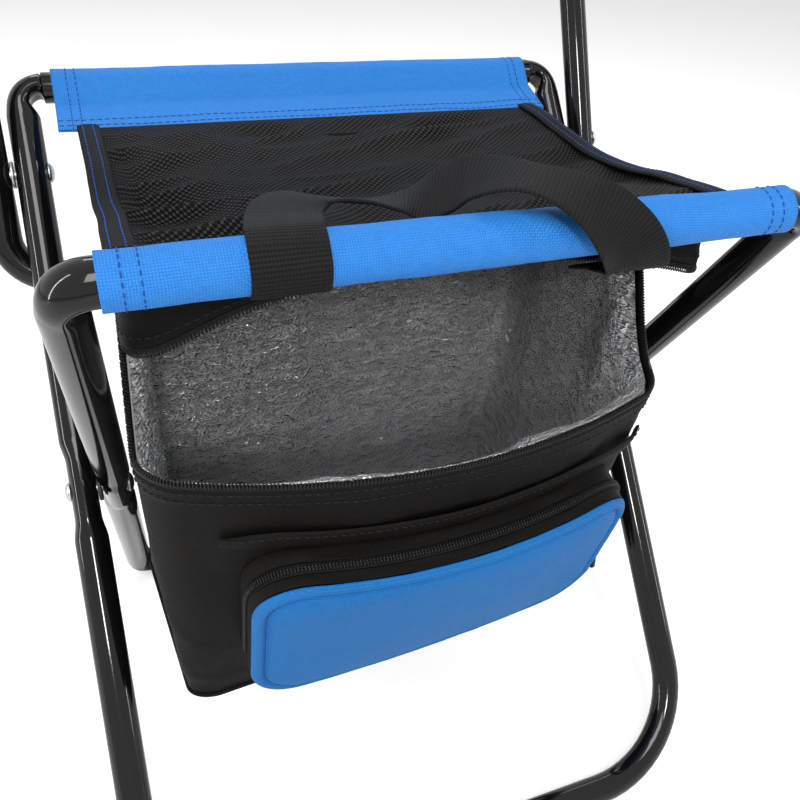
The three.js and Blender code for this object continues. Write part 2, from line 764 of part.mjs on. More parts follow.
/** The back wall, without a zip: past the rim's level, a row of corners in every layer, it rises straight. */
function backSurface(lift, drop) {
  return (u, v) => {
    const share = THREE.MathUtils.lerp(rightBackSeam + seamGap, 1 + leftBackSeam - seamGap, u);
    const foot = footPoint(share).z;
    const { y } = roundBag(share);
    const crown = seatHeight(y) - meshThickness / 2 - fitGap - drop;
    const height = v > kneeShare
      ? THREE.MathUtils.mapLinear(v, kneeShare, 1, zipLevel, crown)
      : THREE.MathUtils.mapLinear(v, 0, kneeShare, foot + lift, zipLevel);
    const point = wallPoint(share, Math.min(1, (height - foot) / (zipLevel - foot)));
    return point.setZ(height);
  };
}

/** Height of the undone upper half of the zip, pulled up in the middle of the front. */
function upperZipHeight(share) {
  const { x, y } = roundBag(share);
  return zipLevel + zipArchHeight * (1 - (x / bagHalfWidth) ** 2) * openShare(y);
}

/** The upper half of the zip and the band above it, between two heights over the zip's middle line. */
function bandSurface(low, high) {
  return (u, v) => {
    const share = THREE.MathUtils.lerp(leftBackSeam + seamGap, rightBackSeam - seamGap, u);
    const { x, y } = roundBag(share);
    const bottom = upperZipHeight(share) + low;
    const crown = seatHeight(y) - meshThickness / 2 - fitGap;
    const top = high === undefined ? crown : upperZipHeight(share) + high;
    return new THREE.Vector3(x, y, THREE.MathUtils.lerp(bottom, top, v));
  };
}

/** A flat plate with the outline of the bag's bottom, drawn in by inset. */
function bottomPlate(inset, low, thickness) {
  const outline = [];
  for (const share of roundStops) {
    const here = footPoint(share);
    const ahead = footPoint(share + seamGap).sub(footPoint(share - seamGap)).normalize();
    outline.push(new THREE.Vector2(here.x - ahead.y * inset, here.y + ahead.x * inset));
  }
  const shape = new THREE.Shape(outline);
  const geometry = new THREE.ExtrudeGeometry(shape, { depth: thickness, bevelEnabled: false });
  return geometry.translate(0, 0, low);
}

const foamNear = shellThickness + 2 * fitGap;
const liningNear = foamNear + foamThickness + 2 * fitGap;
const foamLift = bottomFoamThickness + 3 * fitGap;
const liningLift = foamLift + liningThickness + 3 * fitGap;
const shellDrop = zipHalf + fitGap;
const foamDrop = zipHalf + 3 * fitGap + foamThickness;

/** The cloth walls, foam boards and foil lining of the bag. */
function bagWalls() {
  const panels = [
    { name: 'left', from: leftBackSeam + seamGap, to: leftFrontSeam - seamGap },
    { name: 'front', from: leftFrontSeam + seamGap, to: rightFrontSeam - seamGap },
    { name: 'right', from: rightFrontSeam + seamGap, to: rightBackSeam - seamGap },
  ];
  const layers = { cloth: [-shellThickness, 0], board: [-foamNear - foamThickness, -foamNear] };
  const meshes = [];
  for (const { name, from, to } of panels) {
    const steps = [stopsWithin(from, to), wallSteps];
    const cloth = wallSurface(from, to, 0, shellDrop);
    const board = wallSurface(from, to, foamLift, foamDrop);
    meshes.push(piece(`bag_${name}_panel`, sheet(cloth, ...layers.cloth, steps), 'blackCloth'));
    meshes.push(piece(`foam_${name}_board`, sheet(board, ...layers.board, steps), 'foam'));
  }
  const back = [stopsWithin(rightBackSeam + seamGap, 1 + leftBackSeam - seamGap), wallSteps];
  const backBoard = backSurface(foamLift, foamDrop);
  meshes.push(piece('bag_back_panel', sheet(backSurface(0, 0), ...layers.cloth, back), 'blackCloth'));
  meshes.push(piece('foam_back_board', sheet(backBoard, ...layers.board, back), 'foam'));
  const foil = sheet(wallSurface(0, 1, liningLift, shellDrop), -liningNear - liningThickness, -liningNear,
    [[...roundStops, 1], wallSteps], true);
  meshes.push(piece('foil_lining_walls', foil, 'foil'));
  return meshes;
}

/** The cloth, foam and foil at the bottom of the bag. */
function bagBottom() {
  const foamLow = bottomLevel + shellThickness + fitGap;
  const foilLow = foamLow + bottomFoamThickness + fitGap;
  return [
    piece('bag_bottom_panel', bottomPlate(0, bottomLevel, shellThickness), 'blackCloth'),
    piece('foam_bottom_board', bottomPlate(foamNear + fitGap, foamLow, bottomFoamThickness), 'foam'),
    piece('foil_lining_bottom', bottomPlate(liningNear + fitGap, foilLow, liningThickness), 'foil'),
  ];
}

/** The band above the zip and both halves of the zip, closed on the sides and open across the front. */
function bagMouth() {
  const rim = [stopsWithin(leftBackSeam + seamGap, rightBackSeam - seamGap), 1];
  const zipNear = -shellThickness - zipProud;
  return [
    piece('bag_top_band', sheet(bandSurface(zipHalf + fitGap), -shellThickness, 0, rim), 'blackCloth'),
    piece('main_zip_upper', sheet(bandSurface(fitGap / 2, zipHalf), zipNear, zipProud, rim), 'plastic'),
    piece('main_zip_lower', sheet(rimSurface(zipHalf, fitGap / 2), zipNear, zipProud, rim), 'plastic'),
  ];
}

/** A zip slider in its own frame: X away from the zip, Y along its travel, origin on the zip's face. */
function slider() {
  const shape = new THREE.Shape();
  const round = sliderWidth / 4;
  const length = sliderLength / 2 - round;
  const width = sliderWidth / 2 - round;
  const nose = width - round / 2;
  shape.absarc(length, nose, round, 0, Math.PI / 2);
  shape.absarc(-length, width, round, Math.PI / 2, Math.PI);
  shape.absarc(-length, -width, round, Math.PI, 1.5 * Math.PI);
  shape.absarc(length, -nose, round, 1.5 * Math.PI, 2 * Math.PI);
  const plate = alongX(shape, sliderPlate / 2, roundSteps / 4).translate(fitGap + sliderPlate / 2, 0, 0);
  const studEnd = fitGap + sliderPlate + pullThickness + 3 * fitGap;
  const profile = [
    [0, fitGap + sliderPlate / 2],
    [studRadius, fitGap + sliderPlate / 2],
    [studRadius, studEnd],
    [studHeadRadius, studEnd],
    [studHeadRadius, studEnd + studHeadThickness],
    [0, studEnd + studHeadThickness],
  ].map(([radius, along]) => new THREE.Vector2(radius, along));
  const stud = new THREE.LatheGeometry(profile, roundSteps).rotateZ(-Math.PI / 2);
  return toGeometry(toSolid(plate).add(toSolid(stud)));
}

/** A pull tab in the slider's frame, hanging along -Z from the stud, wider and rounder at its free end. */
function pullTab() {
  const eye = studRadius + fitGap;
  const neck = studHeadRadius + fitGap;
  const grip = pullWidth / 2;
  const low = grip - pullLength;
  const shape = new THREE.Shape();
  shape.absarc(0, 0, neck, 0, Math.PI);
  shape.lineTo(-grip, low / 2);
  shape.absarc(0, low, grip, Math.PI, 2 * Math.PI);
  shape.lineTo(grip, low / 2);
  shape.closePath();
  const hole = new THREE.Path();
  hole.absarc(0, 0, eye, 0, 2 * Math.PI, true);
  shape.holes.push(hole);
  const geometry = alongX(shape, pullThickness / 2, roundSteps / 2);
  return geometry.translate(fitGap + sliderPlate + 1.5 * fitGap + pullThickness / 2, 0, 0);
}

/** A slider and its pull, placed on a zip: out is the zip's outward direction, along the slider's travel. */
function sliderPair(prefix, place, out, along) {
  const across = new THREE.Vector3().crossVectors(out, along);
  const frame = new THREE.Matrix4().makeBasis(out, along, across).setPosition(place);
  const down = new THREE.Vector3(0, 0, 1);
  const side = new THREE.Vector3().crossVectors(down, out).normalize();
  const hanging = new THREE.Matrix4().makeBasis(out, side, new THREE.Vector3().crossVectors(out, side));
  return [
    piece(`${prefix}_slider`, slider().applyMatrix4(frame), 'rivet'),
    piece(`${prefix}_pull`, pullTab().applyMatrix4(hanging.setPosition(place)), 'rivet'),
  ];
}

/** The share of the outline where the front wall has a given X. */
function frontShare(x) {
  const reach = bagHalfWidth - bagCorner;
  return THREE.MathUtils.mapLinear(x, -reach, reach, frontStart, frontEnd);
}

/** Length of the front wall from its foot up to the zip, at a share of the way round. */
function wallLength(share) {
  return footPoint(share).distanceTo(rimPoint(share));
}

const pocketHeight = wallLength(frontShare(pocketRight)) - pocketAboveBottom - pocketBelowZip;

/** The pocket's own frame on the front wall: its middle, and directions across, up and out. */
function pocketFrame() {
  const share = frontShare(pocketRight);
  const length = wallLength(share);
  const up = (pocketAboveBottom + pocketHeight / 2) / length;
  const middle = wallPoint(share, up);
  const halfWidth = pocketWidth / 2;
  const across = wallPoint(frontShare(pocketRight + halfWidth), up)
    .sub(wallPoint(frontShare(pocketRight - halfWidth), up)).normalize();
  const upward = rimPoint(share).sub(footPoint(share)).normalize();
  const out = new THREE.Vector3().crossVectors(across, upward).normalize();
  return { middle, across, up: new THREE.Vector3().crossVectors(out, across), out, length, share: up };
}

const pocket = pocketFrame();
const pocketDepth = pocketRearDepth + pocketZipWidth + pocketFrontDepth;
const pocketSliderDown = pocketHeight / 2 - pocketBaseHeight - sliderAboveBase;
const ringSteps = 48;

/** The point over the front wall at a place in the pocket's frame, lifted off the wall. */
function overWall(x, y, lift) {
  let share = frontShare(pocketRight + x);
  let up = pocket.share + y / pocket.length;
  const passes = 6;
  let offset = 0;
  for (let pass = 0; pass < passes; pass += 1) {
    const reached = wallPoint(share, up).sub(pocket.middle);
    share += (x - reached.dot(pocket.across)) / bagRound;
    up += (y - reached.dot(pocket.up)) / pocket.length;
    offset = reached.dot(pocket.out);
  }
  return pocket.middle.clone()
    .addScaledVector(pocket.across, x)
    .addScaledVector(pocket.up, y)
    .addScaledVector(pocket.out, offset + fitGap + lift);
}

/** The pocket's outline drawn in by inset, anticlockwise from the right end of its base. */
function pocketPath(inset) {
  const halfWidth = pocketWidth / 2 - inset;
  const halfHeight = pocketHeight / 2 - inset;
  const corner = Math.max(pocketCorner - inset, pocketCorner / 4);
  const x = halfWidth - corner;
  const y = halfHeight - corner;
  const start = pocketBaseHeight - pocketHeight / 2;
  const path = new THREE.Path();
  path.moveTo(halfWidth, start);
  path.lineTo(halfWidth, y);
  path.absarc(x, y, corner, 0, Math.PI / 2);
  path.lineTo(-x, halfHeight);
  path.absarc(-x, y, corner, Math.PI / 2, Math.PI);
  path.lineTo(-halfWidth, start);
  path.lineTo(-halfWidth, -y);
  path.absarc(-x, -y, corner, Math.PI, 1.5 * Math.PI);
  path.lineTo(x, -halfHeight);
  path.absarc(x, -y, corner, 1.5 * Math.PI, 2 * Math.PI);
  path.lineTo(halfWidth, start);
  return path;
}

/** A band of the pocket's side between two depths, over a stretch of its outline. */
function pocketBand(from, to, low, high) {
  const outline = pocketPath(0);
  return (u, v) => {
    const point = outline.getPoint(THREE.MathUtils.lerp(from, to, u));
    return overWall(point.x, point.y, THREE.MathUtils.lerp(low, high, v));
  };
}

/** The pocket's padded face as rings from its edge inwards, sewn down along a groove near the edge. */
function pocketFace() {
  const low = pocketDepth + fitGap;
  const half = pocketGrooveWidth / 2;
  const full = pocketFaceThickness;
  const shoulder = pocketGrooveInset / 2;
  const inner = 2 * pocketGrooveInset;
  const domeShares = [1, 0.6, 0.25];
  const rings = [
    { inset: 0, height: pocketFaceEdge },
    { inset: shoulder / 2, height: full - pocketGrooveDepth / 2 },
    { inset: shoulder, height: full },
    { inset: pocketGrooveInset - half - half, height: full },
    { inset: pocketGrooveInset - half, height: full - pocketGrooveDepth },
    { inset: pocketGrooveInset + half, height: full - pocketGrooveDepth },
    { inset: pocketGrooveInset + half + half, height: full },
  ];
  for (const scale of domeShares) {
    rings.push({ inset: inner, height: full + pocketFaceCrown * (1 - scale ** 2 / 2), scale });
  }
  const points = [];
  const addRing = ({ inset, height, scale = 1 }) => {
    const outline = pocketPath(inset);
    for (let i = 0; i < ringSteps; i += 1) {
      const { x, y } = outline.getPoint(i / ringSteps).multiplyScalar(scale);
      points.push(...overWall(x, y, low + height).toArray());
    }
  };
  for (const ring of rings) addRing(ring);
  const rear = [...rings].reverse().filter((ring) => ring.scale || ring.inset === 0);
  for (const ring of rear) addRing({ ...ring, height: 0 });
  const layers = rings.length + rear.length;
  const triangles = [];
  for (let layer = 0; layer < layers; layer += 1) {
    const next = (layer + 1) % layers;
    const isMiddle = layer === rings.length - 1;
    for (let i = 0; i < ringSteps && !isMiddle; i += 1) {
      const j = (i + 1) % ringSteps;
      const a = layer * ringSteps;
      const b = next * ringSteps;
      triangles.push(a + i, a + j, b + j, a + i, b + j, b + i);
    }
  }
  const front = (rings.length - 1) * ringSteps;
  for (let i = 1; i < ringSteps - 1; i += 1) {
    triangles.push(front, front + i, front + i + 1);
    triangles.push(front + ringSteps, front + ringSteps + i + 1, front + ringSteps + i);
  }
  return fromTriangles(points, triangles);
}

/** The pocket on the front wall: gusset, zip, face and the flap sewn on above it. */
function pocketPieces() {
  const outline = pocketPath(0);
  const lengths = outline.getCurveLengths();
  const round = lengths[lengths.length - 1];
  const archEnd = lengths[4] / round;
  const gap = fitGap / round;
  const front = pocketRearDepth + pocketZipWidth;
  const arch = (low, high) => pocketBand(gap, archEnd - gap, low, high);
  const archSteps = [evenStops(32), 1];
  const rearArch = arch(2 * fitGap, pocketRearDepth - fitGap);
  const zipArch = arch(pocketRearDepth, front - fitGap);
  const flapNear = 3 * fitGap;
  const flapSteps = [evenStops(14), 1];
  const base = pocketBand(archEnd + gap, 1 - gap, 2 * fitGap, pocketDepth);
  const half = pocketWidth / 2 + flapEndLength;
  const flap = (u, v) => overWall(THREE.MathUtils.lerp(-half, half, u),
    pocketHeight / 2 + flapGap + flapHeight * v, 0);
  return [
    piece('pocket_gusset_base', sheet(base, -pocketWall, 0, [evenStops(24), 2]), 'blackCloth'),
    piece('pocket_gusset_rear', sheet(rearArch, -pocketWall, 0, archSteps), 'blackCloth'),
    piece('pocket_zip', sheet(zipArch, -pocketWall, zipProud, archSteps), 'plastic'),
    piece('pocket_gusset_front', sheet(arch(front, pocketDepth), -pocketWall, 0, archSteps), 'blackCloth'),
    piece('pocket_face', pocketFace(), 'pocketCloth'),
    piece('pocket_storm_flap', sheet(flap, flapNear, flapNear + flapThickness, flapSteps), 'blackCloth'),
  ];
}

/** The carry handle's course seen from the side: up the bag's front, round the rail and back on the mesh. */
function strapProfile() {
  const start = new THREE.Vector2(-bagFront - fitGap, seatHeight(-bagFront) - strapSeam - strapHang);
  const radius = sleeveRadius + fitGap;
  const rest = -bagFront + strapSettle / 2;
  const onMesh = (y) => seatHeight(y) + meshThickness / 2 + fitGap;
  const tangent = (point) => {
    const away = point.clone().sub(frontRail);
    return { angle: away.angle(), swing: Math.acos(radius / away.length()) };
  };
  const below = tangent(start);
  const land = new THREE.Vector2(rest, onMesh(rest));
  const behind = tangent(land);
  const path = new THREE.Path();
  path.moveTo(start.x, start.y);
  path.absarc(frontRail.x, frontRail.y, radius, below.angle - below.swing, behind.angle + behind.swing, true);
  const leave = path.currentPoint.clone();
  const before = leave.lerp(land, 1 - strapSettle / 2 / leave.distanceTo(land));
  path.lineTo(before.x, before.y);
  const settled = rest + strapSettle / 2;
  path.quadraticCurveTo(land.x, land.y, settled, onMesh(settled));
  const far = frontRail.x + strapLay + strapWidth;
  const steps = 6;
  for (let step = 1; step <= steps; step += 1) {
    const y = THREE.MathUtils.lerp(settled, far, step / steps);
    path.lineTo(y, onMesh(y));
  }
  return path;
}

/** The carry handle: two drops over the rail and the grip between them, all one strap laid on that course. */
function carryHandle() {
  const profile = strapProfile();
  const total = profile.getLength();
  const top = total - strapWidth;
  const corners = [
    { x: strapLeft, y: strapHang },
    { x: strapLeft, y: top, bend: strapTurn },
    { x: strapRight, y: top, bend: strapTurn },
    { x: strapRight, y: 0 },
  ];
  const line = bentLine(corners);
  const grip = line.runs.filter((run) => run.kind === 'straight')[1];
  const surface = (u, v) => {
    const distance = u * line.length;
    const { x, y, heading } = onLine(line, distance);
    const across = (v - 0.5) * strapWidth;
    const along = THREE.MathUtils.clamp(y + across * Math.cos(heading), 0, total);
    const here = profile.getPointAt(along / total);
    const ahead = profile.getPointAt(Math.min(1, (along + fitGap) / total))
      .sub(profile.getPointAt(Math.max(0, (along - fitGap) / total))).normalize();
    const share = THREE.MathUtils.clamp((distance - grip.start) / grip.length, 0, 1);
    const lift = strapHump * Math.sin(Math.PI * share) ** 2;
    const place = new THREE.Vector3(x - across * Math.sin(heading), here.x, here.y);
    return place.add(new THREE.Vector3(0, -lift * ahead.y, lift * ahead.x));
  };
  return piece('carry_handle', sheet(surface, 0, strapThickness, [evenStops(96), 1]), 'webbing');
}

/** The bag, seat and handle, in world places. */
function softGoods() {
  const meshSteps = [evenStops(4), 12];
  const hemSteps = [evenStops(1), 12];
  const half = meshThickness / 2;
  const hemTop = half + fitGap + hemThickness;
  const sliderPlace = new THREE.Vector3(bagHalfWidth + zipProud, -sliderSet, zipLevel);
  const pocketMiddle = pocketRearDepth + pocketZipWidth / 2;
  const pocketEdge = pocketWidth / 2 + zipProud;
  const low = overWall(pocketEdge, -pocketSliderDown, pocketMiddle);
  const high = overWall(pocketEdge, pocketSliderDown, pocketMiddle);
  const rear = sleeve(rearTail, Math.PI + rearTailDrop, sleeveHalfLength);
  return [
    piece('rear_seat_sleeve', rear.translate(0, rearRail.x, rearRail.y), 'blueCloth'),
    piece('seat_mesh', sheet(seatSurface, -half, half, meshSteps), 'mesh'),
    piece('seat_hem_left', sheet(hemSurface(-1), half + fitGap, hemTop, hemSteps), 'blackCloth'),
    piece('seat_hem_right', sheet(hemSurface(1), half + fitGap, hemTop, hemSteps), 'blackCloth'),
    ...bagMouth(),
    ...bagWalls(),
    ...bagBottom(),
    ...pocketPieces(),
    ...sliderPair('main_zip', sliderPlace, outwardX, new THREE.Vector3(0, 1, 0)),
    ...sliderPair('pocket_zip', low, pocket.across, high.clone().sub(low).normalize()),
    carryHandle(),
  ];
}

/** The three tube loops with their rails, rivets and cloths, each turned to its lean. */
function frames() {
  const flat = flatDepth / 2;
  const scissorSpans = {
    headInside: innerHalfWidth - flat,
    headOutside: outerHalfWidth + flat,
    gapInside: innerHalfWidth + flat,
    gapOutside: outerHalfWidth - flat,
  };
  const backSpans = {
    headInside: outerHalfWidth - tubeRadius,
    headOutside: backHalfWidth + tubeRadius,
    gapInside: outerHalfWidth + tubeRadius,
    gapOutside: backHalfWidth - tubeRadius,
  };
  const backRivets = [...rivetPair('backrest', 1, backSpans), ...rivetPair('backrest', -1, backSpans)];
  for (const mesh of backRivets) mesh.position.y = backRivetUp;
  const rail = piece('rear_seat_rail', straightTube(railHalfLength).rotateX(legLean), 'tube');
  rail.position.y = outerPivotToRail;
  const foot = piece('rear_foot_bar', straightTube(rearFootHalfLength), 'tube');
  foot.position.set(0, rearFoot.x, rearFoot.y);
  const topBar = piece('backrest_top_bar', straightTube(topBarHalfLength), 'tube');
  topBar.position.y = backRivetToTop;
  const front = sleeve(frontTail, -frontTailDrop, frontSleeveHalfLength);
  const outer = loopGroup(0, pivotHeight, legLean, piece('outer_leg_tube', outerLoop(), 'tube'), rail,
    ...rivetPair('pivot', 1, scissorSpans), ...rivetPair('pivot', -1, scissorSpans), ...backRivets);
  const inner = loopGroup(0, pivotHeight, -legLean, piece('inner_leg_tube', innerLoop(), 'tube'));
  const backTube = piece('backrest_tube', backLoop(), 'tube');
  const cover = piece('backrest_cover', backCover(), 'blueCloth');
  const back = loopGroup(backRivet.x, backRivet.y, backLean, backTube, topBar, cover);
  const frontSleeve = piece('front_seat_sleeve', front.translate(0, frontRail.x, frontRail.y), 'blueCloth');
  return [outer, inner, back, foot, frontSleeve];
}

const stool = new THREE.Group();
stool.name = 'folding_cooler_stool';
stool.add(...frames(), ...softGoods());
stool.updateMatrixWorld(true);
const extent = new THREE.Box3().setFromObject(stool, true);
stool.position.y = -extent.getCenter(new THREE.Vector3()).y;
stool.updateMatrixWorld(true);

export default stool;
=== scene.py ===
"""Looks of a folding stool with a backrest and an insulated bag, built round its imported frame.

Places are worked out in millimetres in the drawing frame of the part's source and turned into metres when a
mesh is made. The drawing frame has its origin on the floor under the scissor rivets.
"""
import logging
import math
from dataclasses import dataclass, field
from enum import Enum
from itertools import product
from typing import NamedTuple

import bpy
import numpy as np
from mathutils import Matrix, Vector

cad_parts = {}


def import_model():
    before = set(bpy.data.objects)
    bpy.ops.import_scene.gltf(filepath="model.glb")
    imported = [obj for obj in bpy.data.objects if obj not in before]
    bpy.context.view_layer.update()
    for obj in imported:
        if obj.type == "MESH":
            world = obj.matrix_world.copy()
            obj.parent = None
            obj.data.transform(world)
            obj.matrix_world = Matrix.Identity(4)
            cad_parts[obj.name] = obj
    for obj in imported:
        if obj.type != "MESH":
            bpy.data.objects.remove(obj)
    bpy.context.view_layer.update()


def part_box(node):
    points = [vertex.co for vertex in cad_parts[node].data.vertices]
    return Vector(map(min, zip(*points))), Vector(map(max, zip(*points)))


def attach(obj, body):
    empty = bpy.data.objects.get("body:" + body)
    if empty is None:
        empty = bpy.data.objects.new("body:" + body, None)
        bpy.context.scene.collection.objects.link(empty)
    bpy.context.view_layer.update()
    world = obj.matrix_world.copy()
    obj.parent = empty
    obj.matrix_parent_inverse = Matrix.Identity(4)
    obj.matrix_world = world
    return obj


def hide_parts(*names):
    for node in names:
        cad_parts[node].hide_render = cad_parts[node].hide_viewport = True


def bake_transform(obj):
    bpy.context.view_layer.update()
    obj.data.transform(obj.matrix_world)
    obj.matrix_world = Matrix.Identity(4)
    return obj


log = logging.getLogger("stool")
Array = np.ndarray
Colour = tuple[float, float, float]
MM = 0.001
FIT_GAP = 0.3
TINY = 1e-9
NOISE_PRIMES = (73856093, 19349663, 83492791, 2654435761)
NOISE_STIRS = (1274126177, 668265263)
NOISE_TOP = 0x7FFFFFFF


class Side(Enum):
    """Which side of the stool a piece is on."""

    LEFT = -1
    RIGHT = 1

    @property
    def word(self) -> str:
        """The side's name in lower case."""
        return self.name.lower()


class Body(Enum):
    """What a piece moves with. The seat's cloth spans two of the frames."""

    OUTER = "outer_frame"
    INNER = "inner_frame"
    BACK = "backrest"
    ACROSS_FOLD = "across_fold"


@dataclass(frozen=True)
class Finish:
    """A material and a slot name."""

    slot: str
    material: bpy.types.Material


def ease(value: Array, start: float, end: float) -> Array:
    """A smooth step from 0 to 1.

    Args:
        value: numbers to place between start and end.
        start: where the step leaves 0.
        end: where the step reaches 1.

    Returns:
        The step at each number.
    """
    share = np.clip((np.asarray(value, float) - start) / (end - start), 0, 1)
    return share * share * (3 - 2 * share)


def mix(low: Array, high: Array, share: Array) -> Array:
    """The point a share of the way from low to high."""
    return low + (high - low) * share


def unit(vectors: Array) -> Array:
    """Vectors along the last axis, made one long."""
    return vectors / np.maximum(np.linalg.norm(vectors, axis=-1, keepdims=True), TINY)


def lattice_noise(points: Array, size: float, seed: int) -> Array:
    """Smooth noise from -1 to 1 in space, the same on every run.

    Args:
        points: places in millimetres, three numbers on the last axis.
        size: distance between the noise's knots.
        seed: picks one noise of many.

    Returns:
        One number for each place.
    """
    scaled = points / size
    base = np.floor(scaled).astype(np.int64)
    part = scaled - base
    part = part * part * (3 - 2 * part)
    total = np.zeros(points.shape[:-1])
    for corner in product((0, 1), repeat=3):
        cell = base + np.array(corner)
        key = seed * NOISE_PRIMES[3]
        for axis in range(3):
            key = key ^ cell[..., axis] * NOISE_PRIMES[axis]
        key = (key ^ (key >> 13)) * NOISE_STIRS[0] & NOISE_TOP
        key = (key ^ (key >> 15)) * NOISE_STIRS[1] & NOISE_TOP
        weight = np.prod(np.where(np.array(corner) == 1, part, 1 - part), axis=-1)
        total += weight * (key / (NOISE_TOP // 2) - 1)
    return total


def crease_noise(points: Array, size: float, seed: int) -> Array:
    """Sharp-ridged noise from 0 to 1, like crushed film.

    Args:
        points: places in millimetres.
        size: distance between ridges.
        seed: picks one noise of many.

    Returns:
        One number for each place, 1 on a ridge.
    """
    finer, broad_share, fine_share = 0.47, 0.65, 0.35
    broad = 1 - np.abs(lattice_noise(points, size, seed))
    fine = 1 - np.abs(lattice_noise(points, size * finer, seed + 11))
    return broad_share * broad ** 2 + fine_share * fine ** 2


class RowFrame:
    """Where the drawing frame lies in the row's frame."""

    shift_back: float = 0.0

    @classmethod
    def settle(cls) -> None:
        """Reads it from a scissor rivet, whose axis is the drawing frame's X."""
        low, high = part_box("pivot_rivet_left")
        cls.shift_back = -(low[1] + high[1]) / 2 / MM


def world(points: Array) -> Array:
    """Places of the drawing frame, in millimetres, as metres in the row's frame."""
    return (np.asarray(points, float) - np.array([0, RowFrame.shift_back, 0])) * MM


def lengths_along(line: Array) -> Array:
    """Distance of each point of a line from its start."""
    return np.concatenate([[0], np.cumsum(np.linalg.norm(np.diff(line, axis=0), axis=1))])


def read_at(rows: Array, lengths: Array, at: Array) -> Array:
    """Rows of numbers read at distances, where lengths are the rows' own distances."""
    return np.stack([np.interp(at, lengths, column) for column in rows.T], axis=1)


def evenly(points: Array, count: int) -> tuple[Array, float]:
    """Even places on a line of points, and the line's length."""
    lengths = lengths_along(points)
    return read_at(points, lengths, np.linspace(0, lengths[-1], count)), lengths[-1]


def patch(low: Array, high: Array, left: Array, right: Array) -> Array:
    """A grid spanned by four edges that meet at its corners.

    Args:
        low: first row, from left to right.
        high: last row.
        left: first column, from low to high.
        right: last column.

    Returns:
        The grid.
    """
    u = np.linspace(0, 1, len(low))[None, :, None]
    v = np.linspace(0, 1, len(left))[:, None, None]
    ruled = (1 - v) * low[None] + v * high[None] + (1 - u) * left[:, None] + u * right[:, None]
    return ruled - mix(mix(low[0], low[-1], u), mix(high[0], high[-1], u), v)


def grid_faces(rows: int, columns: int, start: int = 0, is_ring: bool = False) -> list[tuple[int, ...]]:
    """Quads over a grid of points.

    Args:
        rows: rows of points.
        columns: points in a row.
        start: number of the first point.
        is_ring: whether a row joins up with its own start.

    Returns:
        The quads, whose faces look along the rows' direction crossed with the columns'.
    """
    faces = []
    for row in range(rows - 1):
        for column in range(columns if is_ring else columns - 1):
            after = (column + 1) % columns
            low = start + row * columns
            faces.append((low + column, low + after, low + columns + after, low + columns + column))
    return faces


def link(name: str, data: bpy.types.ID) -> bpy.types.Object:
    """Puts a mesh, lamp or camera into the scene.

    Args:
        name: the object's name.
        data: what it holds.

    Returns:
        The object.
    """
    thing = bpy.data.objects.new(name, data)
    bpy.context.scene.collection.objects.link(thing)
    return thing


def make_mesh(name: str, points: Array, faces: list[tuple[int, ...]], cloth: Array | None = None,
              around: Array | None = None) -> bpy.types.Object:
    """A mesh object at the origin, with its place in its mesh.

    Args:
        name: the object's name.
        points: its corners in the drawing frame.
        faces: its faces as numbers of corners.
        cloth: millimetres across and along the cloth at each corner, kept as a UV map.
        around: length at each corner of a cloth that joins up with its own start.

    Returns:
        The linked object.
    """
    mesh = bpy.data.meshes.new(name)
    mesh.from_pydata(world(points).tolist(), [], faces)
    if cloth is not None:
        layer = mesh.uv_layers.new(name="cloth")
        corner = np.zeros(len(mesh.loops), np.int32)
        mesh.loops.foreach_get("vertex_index", corner)
        place = cloth[corner]
        if around is not None:
            start, total = (np.zeros(len(mesh.polygons), np.int32) for _ in range(2))
            mesh.polygons.foreach_get("loop_start", start)
            mesh.polygons.foreach_get("loop_total", total)
            furthest = np.repeat(np.maximum.reduceat(place[:, 0], start), total)
            place[:, 0] += around[corner] * (furthest - place[:, 0] > around[corner] / 2)
        layer.data.foreach_set("uv", (place * MM).astype(np.float32).ravel())
    mesh.shade_smooth()
    return link(name, mesh)


def cloth_lengths(grid: Array) -> Array:
    """Distance across and along a grid of points, measured on the cloth itself.

    Args:
        grid: rows and columns of places.

    Returns:
        Two distances for each place.
    """
    across = np.zeros(grid.shape[:2])
    along = np.zeros(grid.shape[:2])
    across[:, 1:] = np.cumsum(np.linalg.norm(np.diff(grid, axis=1), axis=-1), axis=1)
    along[1:] = np.cumsum(np.linalg.norm(np.diff(grid, axis=0), axis=-1), axis=0)
    across -= across[:, across.shape[1] // 2][:, None]
    return np.stack([across, along], axis=-1)


def grid_normals(grid: Array, is_ring: bool = False) -> Array:
    """Directions square to a grid of points.

    Args:
        grid: rows and columns of places.
        is_ring: whether each row joins up with its own start.

    Returns:
        A direction for each place, along the rows' direction crossed with the columns'.
    """
    if is_ring:
        along_row = np.roll(grid, -1, axis=1) - np.roll(grid, 1, axis=1)
    else:
        along_row = np.gradient(grid, axis=1)
    return unit(np.cross(along_row, np.gradient(grid, axis=0)))


